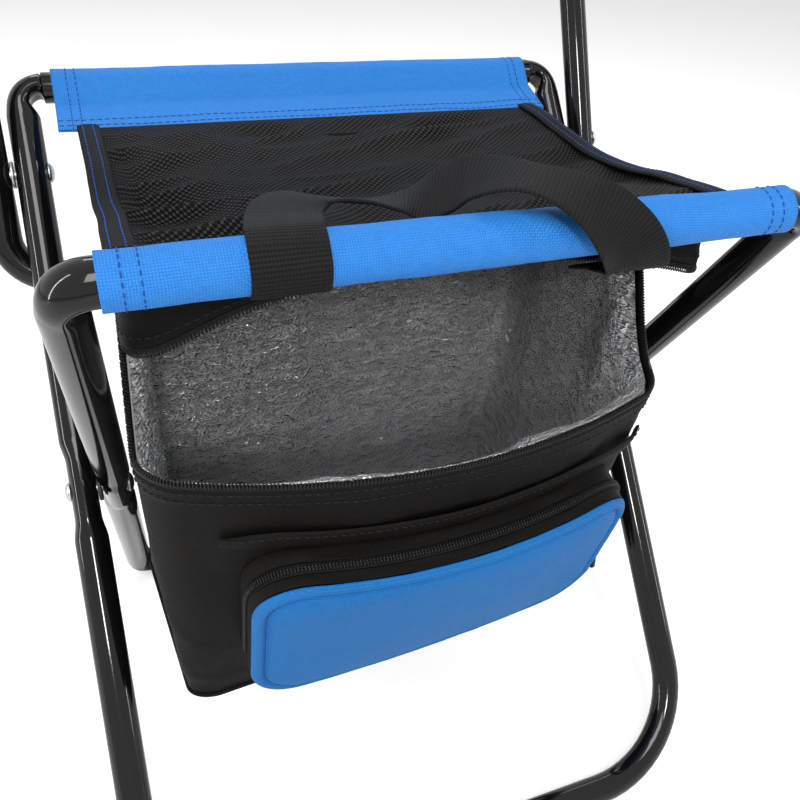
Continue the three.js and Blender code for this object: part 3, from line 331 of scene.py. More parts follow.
def thick_cloth(name: str, grid: Array, near: float, far: float, is_ring: bool = False) -> bpy.types.Object:
    """A closed sheet with two faces off a grid of points.

    Args:
        name: the object's name.
        grid: rows and columns of places.
        near: how far the back face lies along the grid's normals.
        far: how far the front face lies along them.
        is_ring: whether each row joins up with its own start.

    Returns:
        The linked object.
    """
    rows, columns = grid.shape[:2]
    normals = grid_normals(grid, is_ring)
    points = np.concatenate([(grid + normals * offset).reshape(-1, 3) for offset in (far, near)])
    count = rows * columns
    faces = grid_faces(rows, columns, 0, is_ring)
    faces += [tuple(reversed(face)) for face in grid_faces(rows, columns, count, is_ring)]
    for column in range(columns if is_ring else columns - 1):
        after = (column + 1) % columns
        last = (rows - 1) * columns
        faces.append((count + column, count + after, after, column))
        faces.append((last + column, last + after, count + last + after, count + last + column))
    if not is_ring:
        for row in range(rows - 1):
            low, high = row * columns, (row + 1) * columns
            faces.append((low, high, count + high, count + low))
            end = columns - 1
            faces.append((count + low + end, count + high + end, high + end, low + end))
    cloth = cloth_lengths(grid).reshape(-1, 2)
    around = np.linalg.norm(np.diff(grid, axis=1, append=grid[:, :1]), axis=-1).sum(axis=1)
    return make_mesh(name, points, faces, np.concatenate([cloth, cloth]),
                     np.tile(np.repeat(around, columns), 2) if is_ring else None)


def dome(grid: Array) -> Array:
    """A bulge over a grid, from 0 at its edges to 1 in its middle."""
    rows, columns = (np.sin(np.pi * np.linspace(0, 1, count)) for count in grid.shape[:2])
    return rows[:, None] * columns[None, :]


def oval(width: float, height: float, power: float = 2.5, count: int = 20) -> Array:
    """A flattened ring of points.

    Args:
        width: its width.
        height: its height.
        power: 2 for an ellipse, more for a boxier ring.
        count: number of points.

    Returns:
        The points, anticlockwise.
    """
    angle = 2 * np.pi * np.arange(count) / count
    cos, sin = np.cos(angle), np.sin(angle)
    return np.stack([width / 2 * np.sign(cos) * np.abs(cos) ** (2 / power),
                     height / 2 * np.sign(sin) * np.abs(sin) ** (2 / power)], axis=1)


def sweep(name: str, path: Array, side: Array, profile: Array, scale: Array | None = None) -> bpy.types.Object:
    """A closed solid of one section along a path.

    Args:
        name: the object's name.
        path: its middle line.
        side: direction of the section's width at each point.
        profile: the section, anticlockwise.
        scale: the section's width and height at each point as shares.

    Returns:
        The linked object.
    """
    ahead = unit(np.gradient(path, axis=0))
    side = unit(side - ahead * np.sum(side * ahead, axis=1, keepdims=True))
    out = np.cross(ahead, side)
    section = profile[None] * (np.ones((len(path), 2)) if scale is None else scale)[:, None, :]
    rings = path[:, None] + section[..., :1] * side[:, None] + section[..., 1:] * out[:, None]
    cloth = np.stack([section[..., 0], np.repeat(lengths_along(path)[:, None], len(profile), axis=1)], axis=-1)
    return ringed(name, rings, cloth)


def loop_tube(name: str, path: Array, side: Array, radius: float) -> bpy.types.Object:
    """A round cord along a closed path.

    Args:
        name: the object's name.
        path: its middle line, whose last point isn't the first again.
        side: a direction square to the path at each point.
        radius: its radius.

    Returns:
        The linked object.
    """
    ahead = unit(np.roll(path, -1, axis=0) - np.roll(path, 1, axis=0))
    out = np.cross(ahead, side)
    section = oval(2 * radius, 2 * radius, 2.0, 10)
    rings = path[:, None] + section[None, :, :1] * side[:, None] + section[None, :, 1:] * out[:, None]
    rows, columns = rings.shape[:2]
    faces = grid_faces(rows, columns, 0, True)
    last = (rows - 1) * columns
    for column in range(columns):
        after = (column + 1) % columns
        faces.append((last + column, last + after, after, column))
    ring_step = 2.0
    along = np.repeat(np.arange(rows)[:, None] * ring_step, columns, axis=1)
    cloth = np.stack([np.tile(section[:, 0], (rows, 1)), along], axis=-1).reshape(-1, 2)
    return make_mesh(name, rings.reshape(-1, 3), faces, cloth)


def drop(thing: bpy.types.Object, body: Body, finish: Finish, *nodes: str) -> None:
    """Gives a finished piece its material, parents it to its body unless it spans the fold, and hides the nodes
    it stands for.

    Args:
        thing: the piece.
        body: the body it moves with.
        finish: its material and slot.
        nodes: the nodes of the part that it replaces.
    """
    thing.data.materials.clear()
    thing.data.materials.append(finish.material)
    if body is Body.ACROSS_FOLD:
        plan = Drawing()
        start = world(np.array([0, plan.mesh_rear, plan.rear_tip[1]]))
        end = world(np.array([0, plan.mesh_front, plan.front_tip[1]]))
        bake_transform(thing)
    else:
        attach(thing, body.value)
    if nodes:
        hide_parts(*nodes)
    log.info("%s: %d faces on %s", thing.name, len(thing.data.polygons), body.value)


class Term:
    """A value of a node tree on which Python's operators work."""

    def __init__(self, nodes: "Nodes", socket: bpy.types.NodeSocket) -> None:
        """Wraps one output socket."""
        self.nodes = nodes
        self.socket = socket

    def _math(self, operation: str, *values: "Term | float") -> "Term":
        """The result of one Math node on values in order."""
        return self.nodes.node("ShaderNodeMath", {"operation": operation}, dict(enumerate(values)))

    def __add__(self, other: "Term | float") -> "Term":
        """Sum."""
        return self._math("ADD", self, other)

    __radd__ = __add__

    def __mul__(self, other: "Term | float") -> "Term":
        """Product."""
        return self._math("MULTIPLY", self, other)

    __rmul__ = __mul__

    def __sub__(self, other: "Term | float") -> "Term":
        """Difference."""
        return self._math("SUBTRACT", self, other)

    def __rsub__(self, other: "Term | float") -> "Term":
        """Difference with this value taken away."""
        return self._math("SUBTRACT", other, self)

    def __abs__(self) -> "Term":
        """Absolute value."""
        return self._math("ABSOLUTE", self)

    def sine(self) -> "Term":
        """Sine of this value."""
        return self._math("SINE", self)

    def over(self, level: float) -> "Term":
        """1 where this value is more than the level."""
        return self._math("GREATER_THAN", self, level)

    def highest(self, other: "Term | float") -> "Term":
        """The larger of this value and another."""
        return self._math("MAXIMUM", self, other)

    def step(self, low: float, high: float) -> "Term":
        """A smooth step of this value from low to high."""
        return self.nodes.node("ShaderNodeMapRange", {"interpolation_type": "SMOOTHSTEP"},
                               {"Value": self, "From Min": low, "From Max": high})


class Nodes:
    """A node tree whose nodes all come from one method."""

    def __init__(self, tree: bpy.types.NodeTree) -> None:
        """Keeps the tree."""
        self.tree = tree

    def add(self, kind: str, settings: dict[str, object] | None = None,
            sockets: dict[str | int, object] | None = None) -> bpy.types.Node:
        """Adds a node.

        Args:
            kind: the node's type.
            settings: its own settings, set first.
            sockets: values or links of its inputs by name or number.

        Returns:
            The node.
        """
        node = self.tree.nodes.new(kind)
        for key, value in (settings or {}).items():
            setattr(node, key, value)
        for key, value in (sockets or {}).items():
            self.feed(node.inputs[key], value)
        return node

    def node(self, kind: str, settings: dict[str, object] | None = None,
             sockets: dict[str | int, object] | None = None, output: str | int = 0) -> Term:
        """Adds a node and gives one of its outputs.

        Args:
            kind: the node's type.
            settings: its own settings, set first.
            sockets: values or links of its inputs.
            output: name or number of the output.

        Returns:
            The output.
        """
        return Term(self, self.add(kind, settings, sockets).outputs[output])

    def feed(self, socket: bpy.types.NodeSocket, value: object) -> None:
        """Links a term to a socket or sets the socket's own value.

        Args:
            socket: the input.
            value: a term, a number or a colour.
        """
        if isinstance(value, Term):
            self.tree.links.new(value.socket, socket)
        elif isinstance(value, tuple) and len(value) == 3 and socket.type == "RGBA":
            socket.default_value = (*value, 1)
        else:
            socket.default_value = value


class Paint(Nodes):
    """One material under construction."""

    def __init__(self, name: str) -> None:
        """Starts a material with a Principled shader.

        Args:
            name: its name.
        """
        self.material = bpy.data.materials.new(name)
        self.material.use_nodes = True
        super().__init__(self.material.node_tree)
        self.shader = self.tree.nodes["Principled BSDF"]

    def cloth_place(self) -> tuple[Term, Term]:
        """Where a point is on its cloth.

        Returns:
            Millimetres across and along the cloth.
        """
        place = self.node("ShaderNodeUVMap", {"uv_map": "cloth"})
        parts = self.add("ShaderNodeSeparateXYZ", None, {0: place})
        return Term(self, parts.outputs[0]) * 1000.0, Term(self, parts.outputs[1]) * 1000.0

    def object_place(self) -> Term:
        """The place in the object, in metres."""
        return self.node("ShaderNodeTexCoord", None, None, "Object")

    def noise(self, scale: float, detail: float = 2.0, place: Term | None = None) -> Term:
        """Noise over the object.

        Args:
            scale: how fine it is, per metre.
            detail: how many finer layers it has.
            place: where it is read.

        Returns:
            Its level, about 0.5.
        """
        return self.node("ShaderNodeTexNoise", None,
                         {"Vector": place or self.object_place(), "Scale": scale, "Detail": detail})

    def blend(self, share: Term | float, low: object, high: object) -> Term:
        """A colour between two colours.

        Args:
            share: 0 for low, 1 for high.
            low: first colour.
            high: second colour.

        Returns:
            The colour.
        """
        node = self.add("ShaderNodeMix", {"data_type": "RGBA"})
        self.feed(node.inputs[0], share)
        self.feed(node.inputs[6], low)
        self.feed(node.inputs[7], high)
        return Term(self, node.outputs[2])

    def bump(self, height: Term, depth: float, under: Term | None = None) -> Term:
        """A normal bent by a height.

        Args:
            height: 0 to 1.
            depth: metres for a height of 1.
            under: a normal to start from.

        Returns:
            The normal.
        """
        sockets = {"Height": height, "Distance": depth}
        if under:
            sockets["Normal"] = under
        return self.node("ShaderNodeBump", None, sockets)

    def finish(self, **sockets: object) -> bpy.types.Material:
        """Feeds the shader's inputs, named with underscores for spaces.

        Args:
            sockets: values or links.

        Returns:
            The material.
        """
        for key, value in sockets.items():
            self.feed(self.shader.inputs[key.replace("_", " ")], value)
        return self.material


@dataclass(frozen=True)
class GlossPaint:
    """Hard gloss paint on steel tube or a cast slider."""

    name: str
    colour: Colour
    roughness: float = 0.1
    cloud_scale: float = 34.0
    cloud_light: float = 1.5
    cloud_spread: float = 0.06
    ripple: float = 0.000015
    ripple_scale: float = 260.0
    coat: float = 0.2
    coat_roughness: float = 0.04
    shine: float = 0.22

    def dress(self) -> bpy.types.Material:
        """Builds the material.

        Returns:
            The material.
        """
        paint = Paint(self.name)
        cloud = paint.noise(self.cloud_scale, 3.0)
        normal = paint.bump(paint.noise(self.ripple_scale), self.ripple)
        colour = paint.blend(cloud, self.colour, tuple(self.cloud_light * part for part in self.colour))
        roughness = cloud * self.cloud_spread + (self.roughness - self.cloud_spread / 2)
        return paint.finish(Base_Color=colour, Roughness=roughness, Coat_Weight=self.coat,
                            Coat_Roughness=self.coat_roughness, Specular_IOR_Level=self.shine, Normal=normal)


@dataclass(frozen=True)
class BareSteel:
    """Zinc-plated rivet steel."""

    name: str = "plated_steel"
    dark: Colour = (0.42, 0.43, 0.45)
    light: Colour = (0.7, 0.71, 0.72)
    grain_scale: float = 1500.0
    grain_depth: float = 0.00003
    roughness: float = 0.2
    spread: float = 0.25

    def dress(self) -> bpy.types.Material:
        """Builds the material.

        Returns:
            The material.
        """
        paint = Paint(self.name)
        grain = paint.noise(self.grain_scale, 3.0)
        colour = paint.blend(grain, self.dark, self.light)
        return paint.finish(Base_Color=colour, Metallic=1.0, Roughness=grain * self.spread + self.roughness,
                            Normal=paint.bump(grain, self.grain_depth))


@dataclass(frozen=True)
class MattPlastic:
    """Moulded plastic or foam with a fine grain."""

    name: str
    colour: Colour
    roughness: float = 0.55
    smoother: float = 0.08
    spread: float = 0.15
    dark_share: float = 0.8
    grain_scale: float = 2200.0
    grain_depth: float = 0.00004

    def dress(self) -> bpy.types.Material:
        """Builds the material.

        Returns:
            The material.
        """
        paint = Paint(self.name)
        grain = paint.noise(self.grain_scale)
        colour = paint.blend(grain, tuple(self.dark_share * part for part in self.colour), self.colour)
        roughness = grain * self.spread + (self.roughness - self.smoother)
        return paint.finish(Base_Color=colour, Roughness=roughness, Normal=paint.bump(grain, self.grain_depth))


@dataclass(frozen=True)
class WovenCloth:
    """Coated polyester in a plain weave of flat threads."""

    name: str
    colour: Colour
    # shade is the colour of the weave's hollows, painted darker as painted shade.
    shade: Colour
    pitch: float = 0.95
    roughness: float = 0.62
    smoother: float = 0.08
    spread: float = 0.15
    depth: float = 0.00022
    shine: float = 0.2
    slub_scale: float = 420.0
    cloud_scale: float = 16.0

    def dress(self) -> bpy.types.Material:
        """Builds the material.

        Returns:
            The material.
        """
        paint = Paint(self.name)
        across, along = paint.cloth_place()
        warp, weft = ((way * (math.pi / self.pitch)).sine() for way in (across, along))
        over = (warp * weft).over(0.0)
        height = over * abs(warp) + (1.0 - over) * abs(weft)
        slub = paint.noise(self.slub_scale)
        cloud = paint.noise(self.cloud_scale, 3.0)
        # Partly painted shade: the colour is darker in the weave's hollows and lighter on the thread crests,
        # following the bump's height; slub and cloud add tone that differs at random.
        level = height * 0.55 + slub * 0.35 + cloud * 0.25
        colour = paint.blend(level.step(0.15, 0.95), self.shade, self.colour)
        normal = paint.bump(height * 0.8 + slub * 0.4, self.depth)
        roughness = cloud * self.spread + (self.roughness - self.smoother)
        return paint.finish(Base_Color=colour, Roughness=roughness, Normal=normal,
                            Specular_IOR_Level=self.shine)


@dataclass(frozen=True)
class SpacerMesh:
    """Knitted mesh with rows of oval holes, painted near black as the shade inside them."""

    name: str = "spacer_mesh"
    pitch_across: float = 3.1
    pitch_along: float = 3.4
    hole_edge: tuple[float, float] = (0.42, 0.78)
    fuzz_scale: float = 1400.0
    backing: Colour = (0.0003, 0.0003, 0.0003)
    yarn: Colour = (0.038, 0.038, 0.039)
    roughness: float = 0.62
    depth: float = 0.0012
    shine: float = 0.06

    def dress(self) -> bpy.types.Material:
        """Builds the material.

        Returns:
            The material.
        """
        paint = Paint(self.name)
        across, along = paint.cloth_place()
        first = (across * (math.pi / self.pitch_across)).sine()
        second = (along * (math.pi / self.pitch_along)).sine()
        hole = abs(first * second)
        third = (across * (math.pi / self.pitch_across) + math.pi / 2).sine()
        fourth = (along * (math.pi / self.pitch_along) + math.pi / 2).sine()
        hole = hole.highest(abs(third * fourth))
        rim = 1.0 - hole.step(*self.hole_edge)
        fuzz = paint.noise(self.fuzz_scale)
        # Painted shade: the holes take a near black colour for the shade inside them; the yarn between them
        # keeps its own grey, with random fuzz.
        colour = paint.blend(rim * (0.6 + 0.8 * fuzz), self.backing, self.yarn)
        normal = paint.bump(rim + fuzz * 0.25, self.depth)
        return paint.finish(Base_Color=colour, Roughness=self.roughness, Normal=normal,
                            Specular_IOR_Level=self.shine)


@dataclass(frozen=True)
class Webbing:
    """Flat woven strap with ribs across its width and a fine herringbone."""

    name: str = "strap_webbing"
    rib: float = 1.5
    strand: float = 1.1
    fuzz_scale: float = 900.0
    # groove is the colour between the ribs and strands, darkened as painted shade.
    groove: Colour = (0.0002, 0.0002, 0.0002)
    yarn: Colour = (0.014, 0.014, 0.0143)
    roughness: float = 0.6
    depth: float = 0.00035
    shine: float = 0.08

    def dress(self) -> bpy.types.Material:
        """Builds the material.

        Returns:
            The material.
        """
        paint = Paint(self.name)
        across, along = paint.cloth_place()
        ribs = abs((along * (math.pi / self.rib)).sine())
        strands = abs((across * (math.pi / self.strand)).sine())
        fuzz = paint.noise(self.fuzz_scale, 3.0)
        # Painted shade: the colour darkens between the ribs and strands, following the bump's pattern; fuzz
        # adds random tone.
        colour = paint.blend(ribs * 0.5 + strands * 0.3 + fuzz * 0.3, self.groove, self.yarn)
        normal = paint.bump(ribs * 0.6 + strands * 0.4 + fuzz * 0.2, self.depth)
        return paint.finish(Base_Color=colour, Roughness=self.roughness, Normal=normal,
                            Specular_IOR_Level=self.shine)


@dataclass(frozen=True)
class CrushedFoil:
    """Aluminium film pressed on foam, crushed and embossed with small diamonds."""

    name: str = "crushed_foil"
    emboss: float = 2.3
    squash: Colour = (1.0, 1.0, 2.6)
    wrinkle_scale: float = 120.0
    wrinkle_depth: float = 0.013
    crack_scale: float = 130.0
    crack_width: float = 0.14
    crack_depth: float = 0.0014
    dull: Colour = (0.74, 0.75, 0.76)
    bright: Colour = (0.95, 0.955, 0.96)
    metallic: float = 0.5
    roughness: float = 0.13
    spread: float = 0.12

    def dress(self) -> bpy.types.Material:
        """Builds the material.

        Returns:
            The material.
        """
        paint = Paint(self.name)
        across, along = paint.cloth_place()
        turn = math.pi / self.emboss
        diamonds = abs(((across + along) * turn).sine()) * abs(((across - along) * turn).sine())
        level = paint.node("ShaderNodeVectorMath", {"operation": "MULTIPLY"},
                           {0: paint.object_place(), 1: self.squash})
        wrinkle = paint.noise(self.wrinkle_scale, 5.0, level)
        crackle = paint.node("ShaderNodeTexVoronoi", {"feature": "DISTANCE_TO_EDGE"},
                             {"Vector": level, "Scale": self.crack_scale})
        crack = 1.0 - crackle.step(0.0, self.crack_width)
        # Partly painted light: the colour is lighter on the wrinkles' crests as painted sheen and darker in
        # their troughs as painted shade, along the same noise as the first bump.
        colour = paint.blend(wrinkle.step(0.3, 0.7), self.dull, self.bright)
        first = paint.bump(wrinkle, self.wrinkle_depth)
        second = paint.bump(crack * 0.8 + diamonds * 0.6, self.crack_depth, first)
        return paint.finish(Base_Color=colour, Metallic=self.metallic,
                            Roughness=wrinkle * self.spread + self.roughness, Normal=second)


@dataclass(frozen=True)
class PlainThread:
    """Twisted sewing thread, or any small plain thing with a grain."""

    name: str
    colour: Colour
    roughness: float = 0.6
    shine: float = 0.25
    dark_share: float = 0.6
    twist_scale: float = 3000.0
    twist_depth: float = 0.00005

    def dress(self) -> bpy.types.Material:
        """Builds the material.

        Returns:
            The material.
        """
        paint = Paint(self.name)
        twist = paint.noise(self.twist_scale)
        colour = paint.blend(twist, tuple(self.dark_share * part for part in self.colour), self.colour)
        return paint.finish(Base_Color=colour, Roughness=self.roughness, Specular_IOR_Level=self.shine,
                            Normal=paint.bump(twist, self.twist_depth))


class Finishes:
    """Every finish of the stool, built once."""

    def __init__(self) -> None:
        """Builds the materials."""
        self.paint = Finish("tube_paint", GlossPaint("black_gloss_paint", (0.003, 0.003, 0.0033)).dress())
        self.cast = Finish("zip_metal", GlossPaint(
            "black_cast_metal", (0.01, 0.01, 0.01), roughness=0.3).dress())
        self.steel = Finish("rivet_steel", BareSteel().dress())
        self.plastic = Finish("spacer_plastic", MattPlastic("black_plastic", (0.02, 0.02, 0.021)).dress())
        self.foam = Finish("foam", MattPlastic("white_foam", (0.78, 0.78, 0.76), roughness=0.8).dress())
        self.blue = Finish("blue_cloth", WovenCloth(
            "blue_weave", colour=(0.024, 0.228, 0.69), shade=(0.007, 0.125, 0.43), shine=0.3).dress())
        # A shaded copy of the blue weave: the same cloth painted darker for the pocket's face, as painted shade
        # for the less light it gets.
        self.deep_blue = Finish("blue_cloth", WovenCloth(
            "deep_blue_weave", colour=(0.009, 0.160, 0.46), shade=(0.003, 0.09, 0.30)).dress())
        self.black = Finish("black_cloth", WovenCloth(
            "black_weave", colour=(0.0085, 0.0075, 0.0068), shade=(0.0014, 0.0012, 0.001), pitch=0.8,
            roughness=0.58, depth=0.00016, shine=0.07).dress())
        self.mesh = Finish("seat_mesh", SpacerMesh().dress())
        self.webbing = Finish("webbing", Webbing().dress())
        self.foil = Finish("foil", CrushedFoil().dress())
        self.tape = Finish("zip_plastic", WovenCloth(
            "zip_tape", colour=(0.009, 0.0085, 0.0085), shade=(0.0025, 0.0025, 0.0025), pitch=0.6,
            roughness=0.6, depth=0.0001, shine=0.12).dress())
        self.coil = Finish("zip_plastic", PlainThread(
            "zip_coil", (0.014, 0.014, 0.0145), roughness=0.3).dress())
        self.blue_thread = Finish("blue_cloth", PlainThread("blue_thread", (0.008, 0.075, 0.36)).dress())
        self.black_thread = Finish("black_cloth", PlainThread("black_thread", (0.006, 0.006, 0.006)).dress())


class Repeat(Enum):
    """Small shapes that a geometry tree repeats along a path."""

    STITCH = "stitch"
    COIL = "coil"


class RepeatTree(Nodes):
    """A geometry tree that puts a small shape on every point of a mesh and makes the result real."""

    sizes: tuple[str, ...] = ("Length", "Width", "Height")

    def __init__(self, shape: Repeat) -> None:
        """Builds the tree.

        Args:
            shape: the small shape that it repeats.
        """
        super().__init__(bpy.data.node_groups.new(f"repeat_{shape.value}", "GeometryNodeTree"))
        self.tree.is_modifier = True
        face = self.tree.interface
        face.new_socket("Points", in_out="INPUT", socket_type="NodeSocketGeometry")
        inputs = [face.new_socket(name, in_out="INPUT", socket_type="NodeSocketFloat") for name in self.sizes]
        inputs.append(face.new_socket("Finish", in_out="INPUT", socket_type="NodeSocketMaterial"))
        face.new_socket("Shape", in_out="OUTPUT", socket_type="NodeSocketGeometry")
        self.sockets = {item.name: item.identifier for item in inputs}
        entry = {socket.name: Term(self, socket) for socket in self.add("NodeGroupInput").outputs}
        turn = self.node("GeometryNodeInputNamedAttribute", {"data_type": "FLOAT_VECTOR"}, {"Name": "turn"},
                         "Attribute")
        size = self.node("ShaderNodeCombineXYZ", None, dict(enumerate(entry[name] for name in self.sizes)))
        placed = self.node("GeometryNodeInstanceOnPoints", None, {
            "Points": entry["Points"], "Instance": self._small_shape(shape),
            "Rotation": self.node("FunctionNodeEulerToRotation", None, {0: turn}), "Scale": size})
        real = self.node("GeometryNodeRealizeInstances", None, {0: placed})
        dressed = self.node("GeometryNodeSetMaterial", None, {"Geometry": real, "Material": entry["Finish"]})
        self.add("NodeGroupOutput", None, {0: dressed})

    def _small_shape(self, shape: Repeat) -> Term:
        """The mesh of a small shape about one across.

        Args:
            shape: a stitch, which is a bead, or a turn of zip coil, which is a leaning ring of wire.

        Returns:
            The mesh.
        """
        if shape is Repeat.STITCH:
            bead = {"Segments": 6, "Rings": 5, "Radius": 0.5}
            return self.node("GeometryNodeMeshUVSphere", None, bead, "Mesh")
        loop, wire = (self.node("GeometryNodeCurvePrimitiveCircle", None,
                                {"Resolution": sides, "Radius": radius})
                      for sides, radius in ((8, 0.36), (4, 0.15)))
        ring = self.node("GeometryNodeCurveToMesh", None, {0: loop, 1: wire})
        return self.node("GeometryNodeTransform", None, {0: ring, "Rotation": (0, math.radians(78), 0)})

    def run(self, name: str, points: Array, ahead: Array, out: Array, size: tuple[float, float, float],
            material: bpy.types.Material) -> bpy.types.Object:
        """Repeats the shape on points and turns the result into a plain mesh.

        Args:
            name: the new object's name.
            points: places in the drawing frame.
            ahead: direction of each shape's length.
            out: direction of each shape's height.
            size: length, width and height of one shape in millimetres.
            material: the finish.

        Returns:
            The linked object.
        """
        ahead = unit(ahead)
        side = unit(np.cross(out, ahead))
        up = np.cross(ahead, side)
        turns = [Matrix((a, s, u)).transposed().to_euler() for a, s, u in zip(ahead, side, up)]
        seed = bpy.data.meshes.new(name + "_points")
        seed.from_pydata(world(points).tolist(), [], [])
        attribute = seed.attributes.new("turn", "FLOAT_VECTOR", "POINT")
        attribute.data.foreach_set("vector", np.array([tuple(turn) for turn in turns], np.float32).ravel())
        source = link(name + "_points", seed)
        modifier = source.modifiers.new("repeat", "NODES")
        modifier.node_group = self.tree
        for key, value in zip(self.sizes, size):
            modifier[self.sockets[key]] = value * MM
        modifier[self.sockets["Finish"]] = material
        bpy.context.view_layer.update()
        mesh = bpy.data.meshes.new_from_object(source.evaluated_get(bpy.context.evaluated_depsgraph_get()))
        bpy.data.objects.remove(source)
        mesh.name = name
        mesh.shade_smooth()
        return link(name, mesh)


def along_path(path: Array, out: Array, pitch: float) -> tuple[Array, Array, Array]:
    """Even places along a path, half a pitch in from its ends.

    Args:
        path: points of the path.
        out: outward direction at each point.
        pitch: distance between places.

    Returns:
        The places, the path's direction there and the outward direction there.
    """
    lengths = lengths_along(path)
    at = np.linspace(pitch / 2, lengths[-1] - pitch / 2, max(2, int((lengths[-1] - pitch) / pitch) + 1))
    step = pitch / 4
    ahead = read_at(path, lengths, at + step) - read_at(path, lengths, at - step)
    return read_at(path, lengths, at), ahead, unit(read_at(out, lengths, at))


@dataclass
class Sewing:
    """Puts rows of stitches and zip coils on pieces."""

    finishes: Finishes
    stitch_share: float = 0.78
    stitch_width: float = 0.7
    stitch_height: float = 0.55
    coil_pitch: float = 1.4
    coil_depth: float = 2.3

    def __post_init__(self) -> None:
        """Builds the trees that repeat the shapes."""
        self.stitch, self.coil = RepeatTree(Repeat.STITCH), RepeatTree(Repeat.COIL)

    def row(self, name: str, path: Array, out: Array, thread: Finish, body: Body, pitch: float = 3.6) -> None:
        """A row of stitches.

        Args:
            name: the object's name.
            path: points of the row, on the cloth's face.
            out: outward direction at each point.
            thread: its finish.
            body: the body it moves with.
            pitch: distance from stitch to stitch.
        """
        size = (pitch * self.stitch_share, self.stitch_width, self.stitch_height)
        drop(self.stitch.run(name, *along_path(path, out, pitch), size, thread.material), body, thread)

    def teeth(self, name: str, path: Array, out: Array, width: float = 3.4) -> None:
        """A row of zip coil on the bag.

        Args:
            name: the object's name.
            path: points of the row.
            out: outward direction at each point.
            width: reach of one turn of the coil across the tape.
        """
        coil, size = self.finishes.coil, (self.coil_depth, width, self.coil_depth)
        row = self.coil.run(name, *along_path(path, out, self.coil_pitch), size, coil.material)
        drop(row, Body.OUTER, coil)


@dataclass(frozen=True)
class Drawing:
    """Sizes and places that several sub-assemblies share, as in the part's source."""

    lean: float = math.radians(38.45)
    tube_radius: float = 8.0
    pivot_to_foot: float = 227
    outer_to_rail: float = 211
    inner_to_rail: float = 227
    outer_half: float = 151
    inner_half: float = 136
    back_half: float = 169
    back_lean: float = math.radians(20.6)
    rail_to_rivet: float = 46
    rivet_to_top: float = 300
    pressed_bend: float = 10.8
    insert: float = 32
    sleeve_half: float = 135
    front_sleeve_half: float = 124.8
    rear_tail: float = 41
    rear_tail_drop: float = math.radians(17)
    front_tail: float = 29
    front_tail_drop: float = math.radians(6.5)
    tail_thickness: float = 1.6
    cloth: float = 0.8
    mesh_thickness: float = 3
    mesh_rear_half: float = 126
    mesh_front_half: float = 121
    mesh_sag: float = 8
    mesh_lap: float = 6

    @property
    def pivot(self) -> float:
        """Height of the scissor rivets."""
        return self.tube_radius * math.cos(math.pi / 16) + self.pivot_to_foot * math.cos(self.lean)

    def up_loop(self, y: float, z: float, lean: float, distance: float) -> Array:
        """A place up a leaning loop, as y and z."""
        return np.array([y + distance * math.sin(lean), z + distance * math.cos(lean)])

    @property
    def rear_rail(self) -> Array:
        """Middle of the rear seat rail."""
        return self.up_loop(0, self.pivot, self.lean, self.outer_to_rail)

    @property
    def front_rail(self) -> Array:
        """Middle of the front seat rail."""
        return self.up_loop(0, self.pivot, -self.lean, self.inner_to_rail)

    @property
    def rear_foot(self) -> Array:
        """Middle of the rear foot bar."""
        return self.up_loop(0, self.pivot, -self.lean, -self.pivot_to_foot)

    @property
    def back_rivet(self) -> Array:
        """Middle of the backrest's rivets."""
        return self.up_loop(0, self.pivot, self.lean, self.outer_to_rail - self.rail_to_rivet)

    @property
    def rear_tip(self) -> Array:
        """End of the rear sleeve's tail."""
        slope = self.rear_tail_drop
        return self.rear_rail - self.rear_tail * np.array([math.cos(slope), math.sin(slope)])

    @property
    def front_tip(self) -> Array:
        """End of the front sleeve's tail."""
        slope = self.front_tail_drop
        return self.front_rail + self.front_tail * np.array([math.cos(slope), -math.sin(slope)])

    @property
    def mesh_rear(self) -> float:
        """Rear edge of the seat mesh."""
        return self.rear_tip[0] - 3 * FIT_GAP

    @property
    def mesh_front(self) -> float:
        """Front edge of the seat mesh."""
        return self.front_tip[0] - self.mesh_lap

    def _seat_share(self, y: Array) -> Array:
        """Shares of the way from the mesh's front edge to its rear edge."""
        return (np.asarray(y, float) - self.mesh_front) / (self.mesh_rear - self.mesh_front)

    def seat_height(self, y: Array) -> Array:
        """Heights of the middle of the seat mesh at places from front to back.

        Args:
            y: the places.

        Returns:
            The heights.
        """
        low = self.front_tip[1] - self.tail_thickness / 2 - FIT_GAP - self.mesh_thickness / 2
        share = self._seat_share(y)
        sag = self.mesh_sag * np.sin(np.pi * np.clip(share, 0, 1)) ** 2
        return mix(low, self.rear_tip[1], share) - sag

    def seat_half(self, y: Array) -> Array:
        """Half the seat mesh's width at places from front to back."""
        return mix(self.mesh_front_half, self.mesh_rear_half, self._seat_share(y))


@dataclass(frozen=True)
class Press:
    """A stretch of tube squeezed out of round."""

    at: float
    half: float
    blend: float
    inner: float
    outer: float
    deep: float
    dent: float = 0.0


class Run(NamedTuple):
    """A straight stretch of tube, or a bend where its bend radius isn't zero."""

    start: Array
    heading: float
    turn: float
    bend: float
    begin: float
    length: float


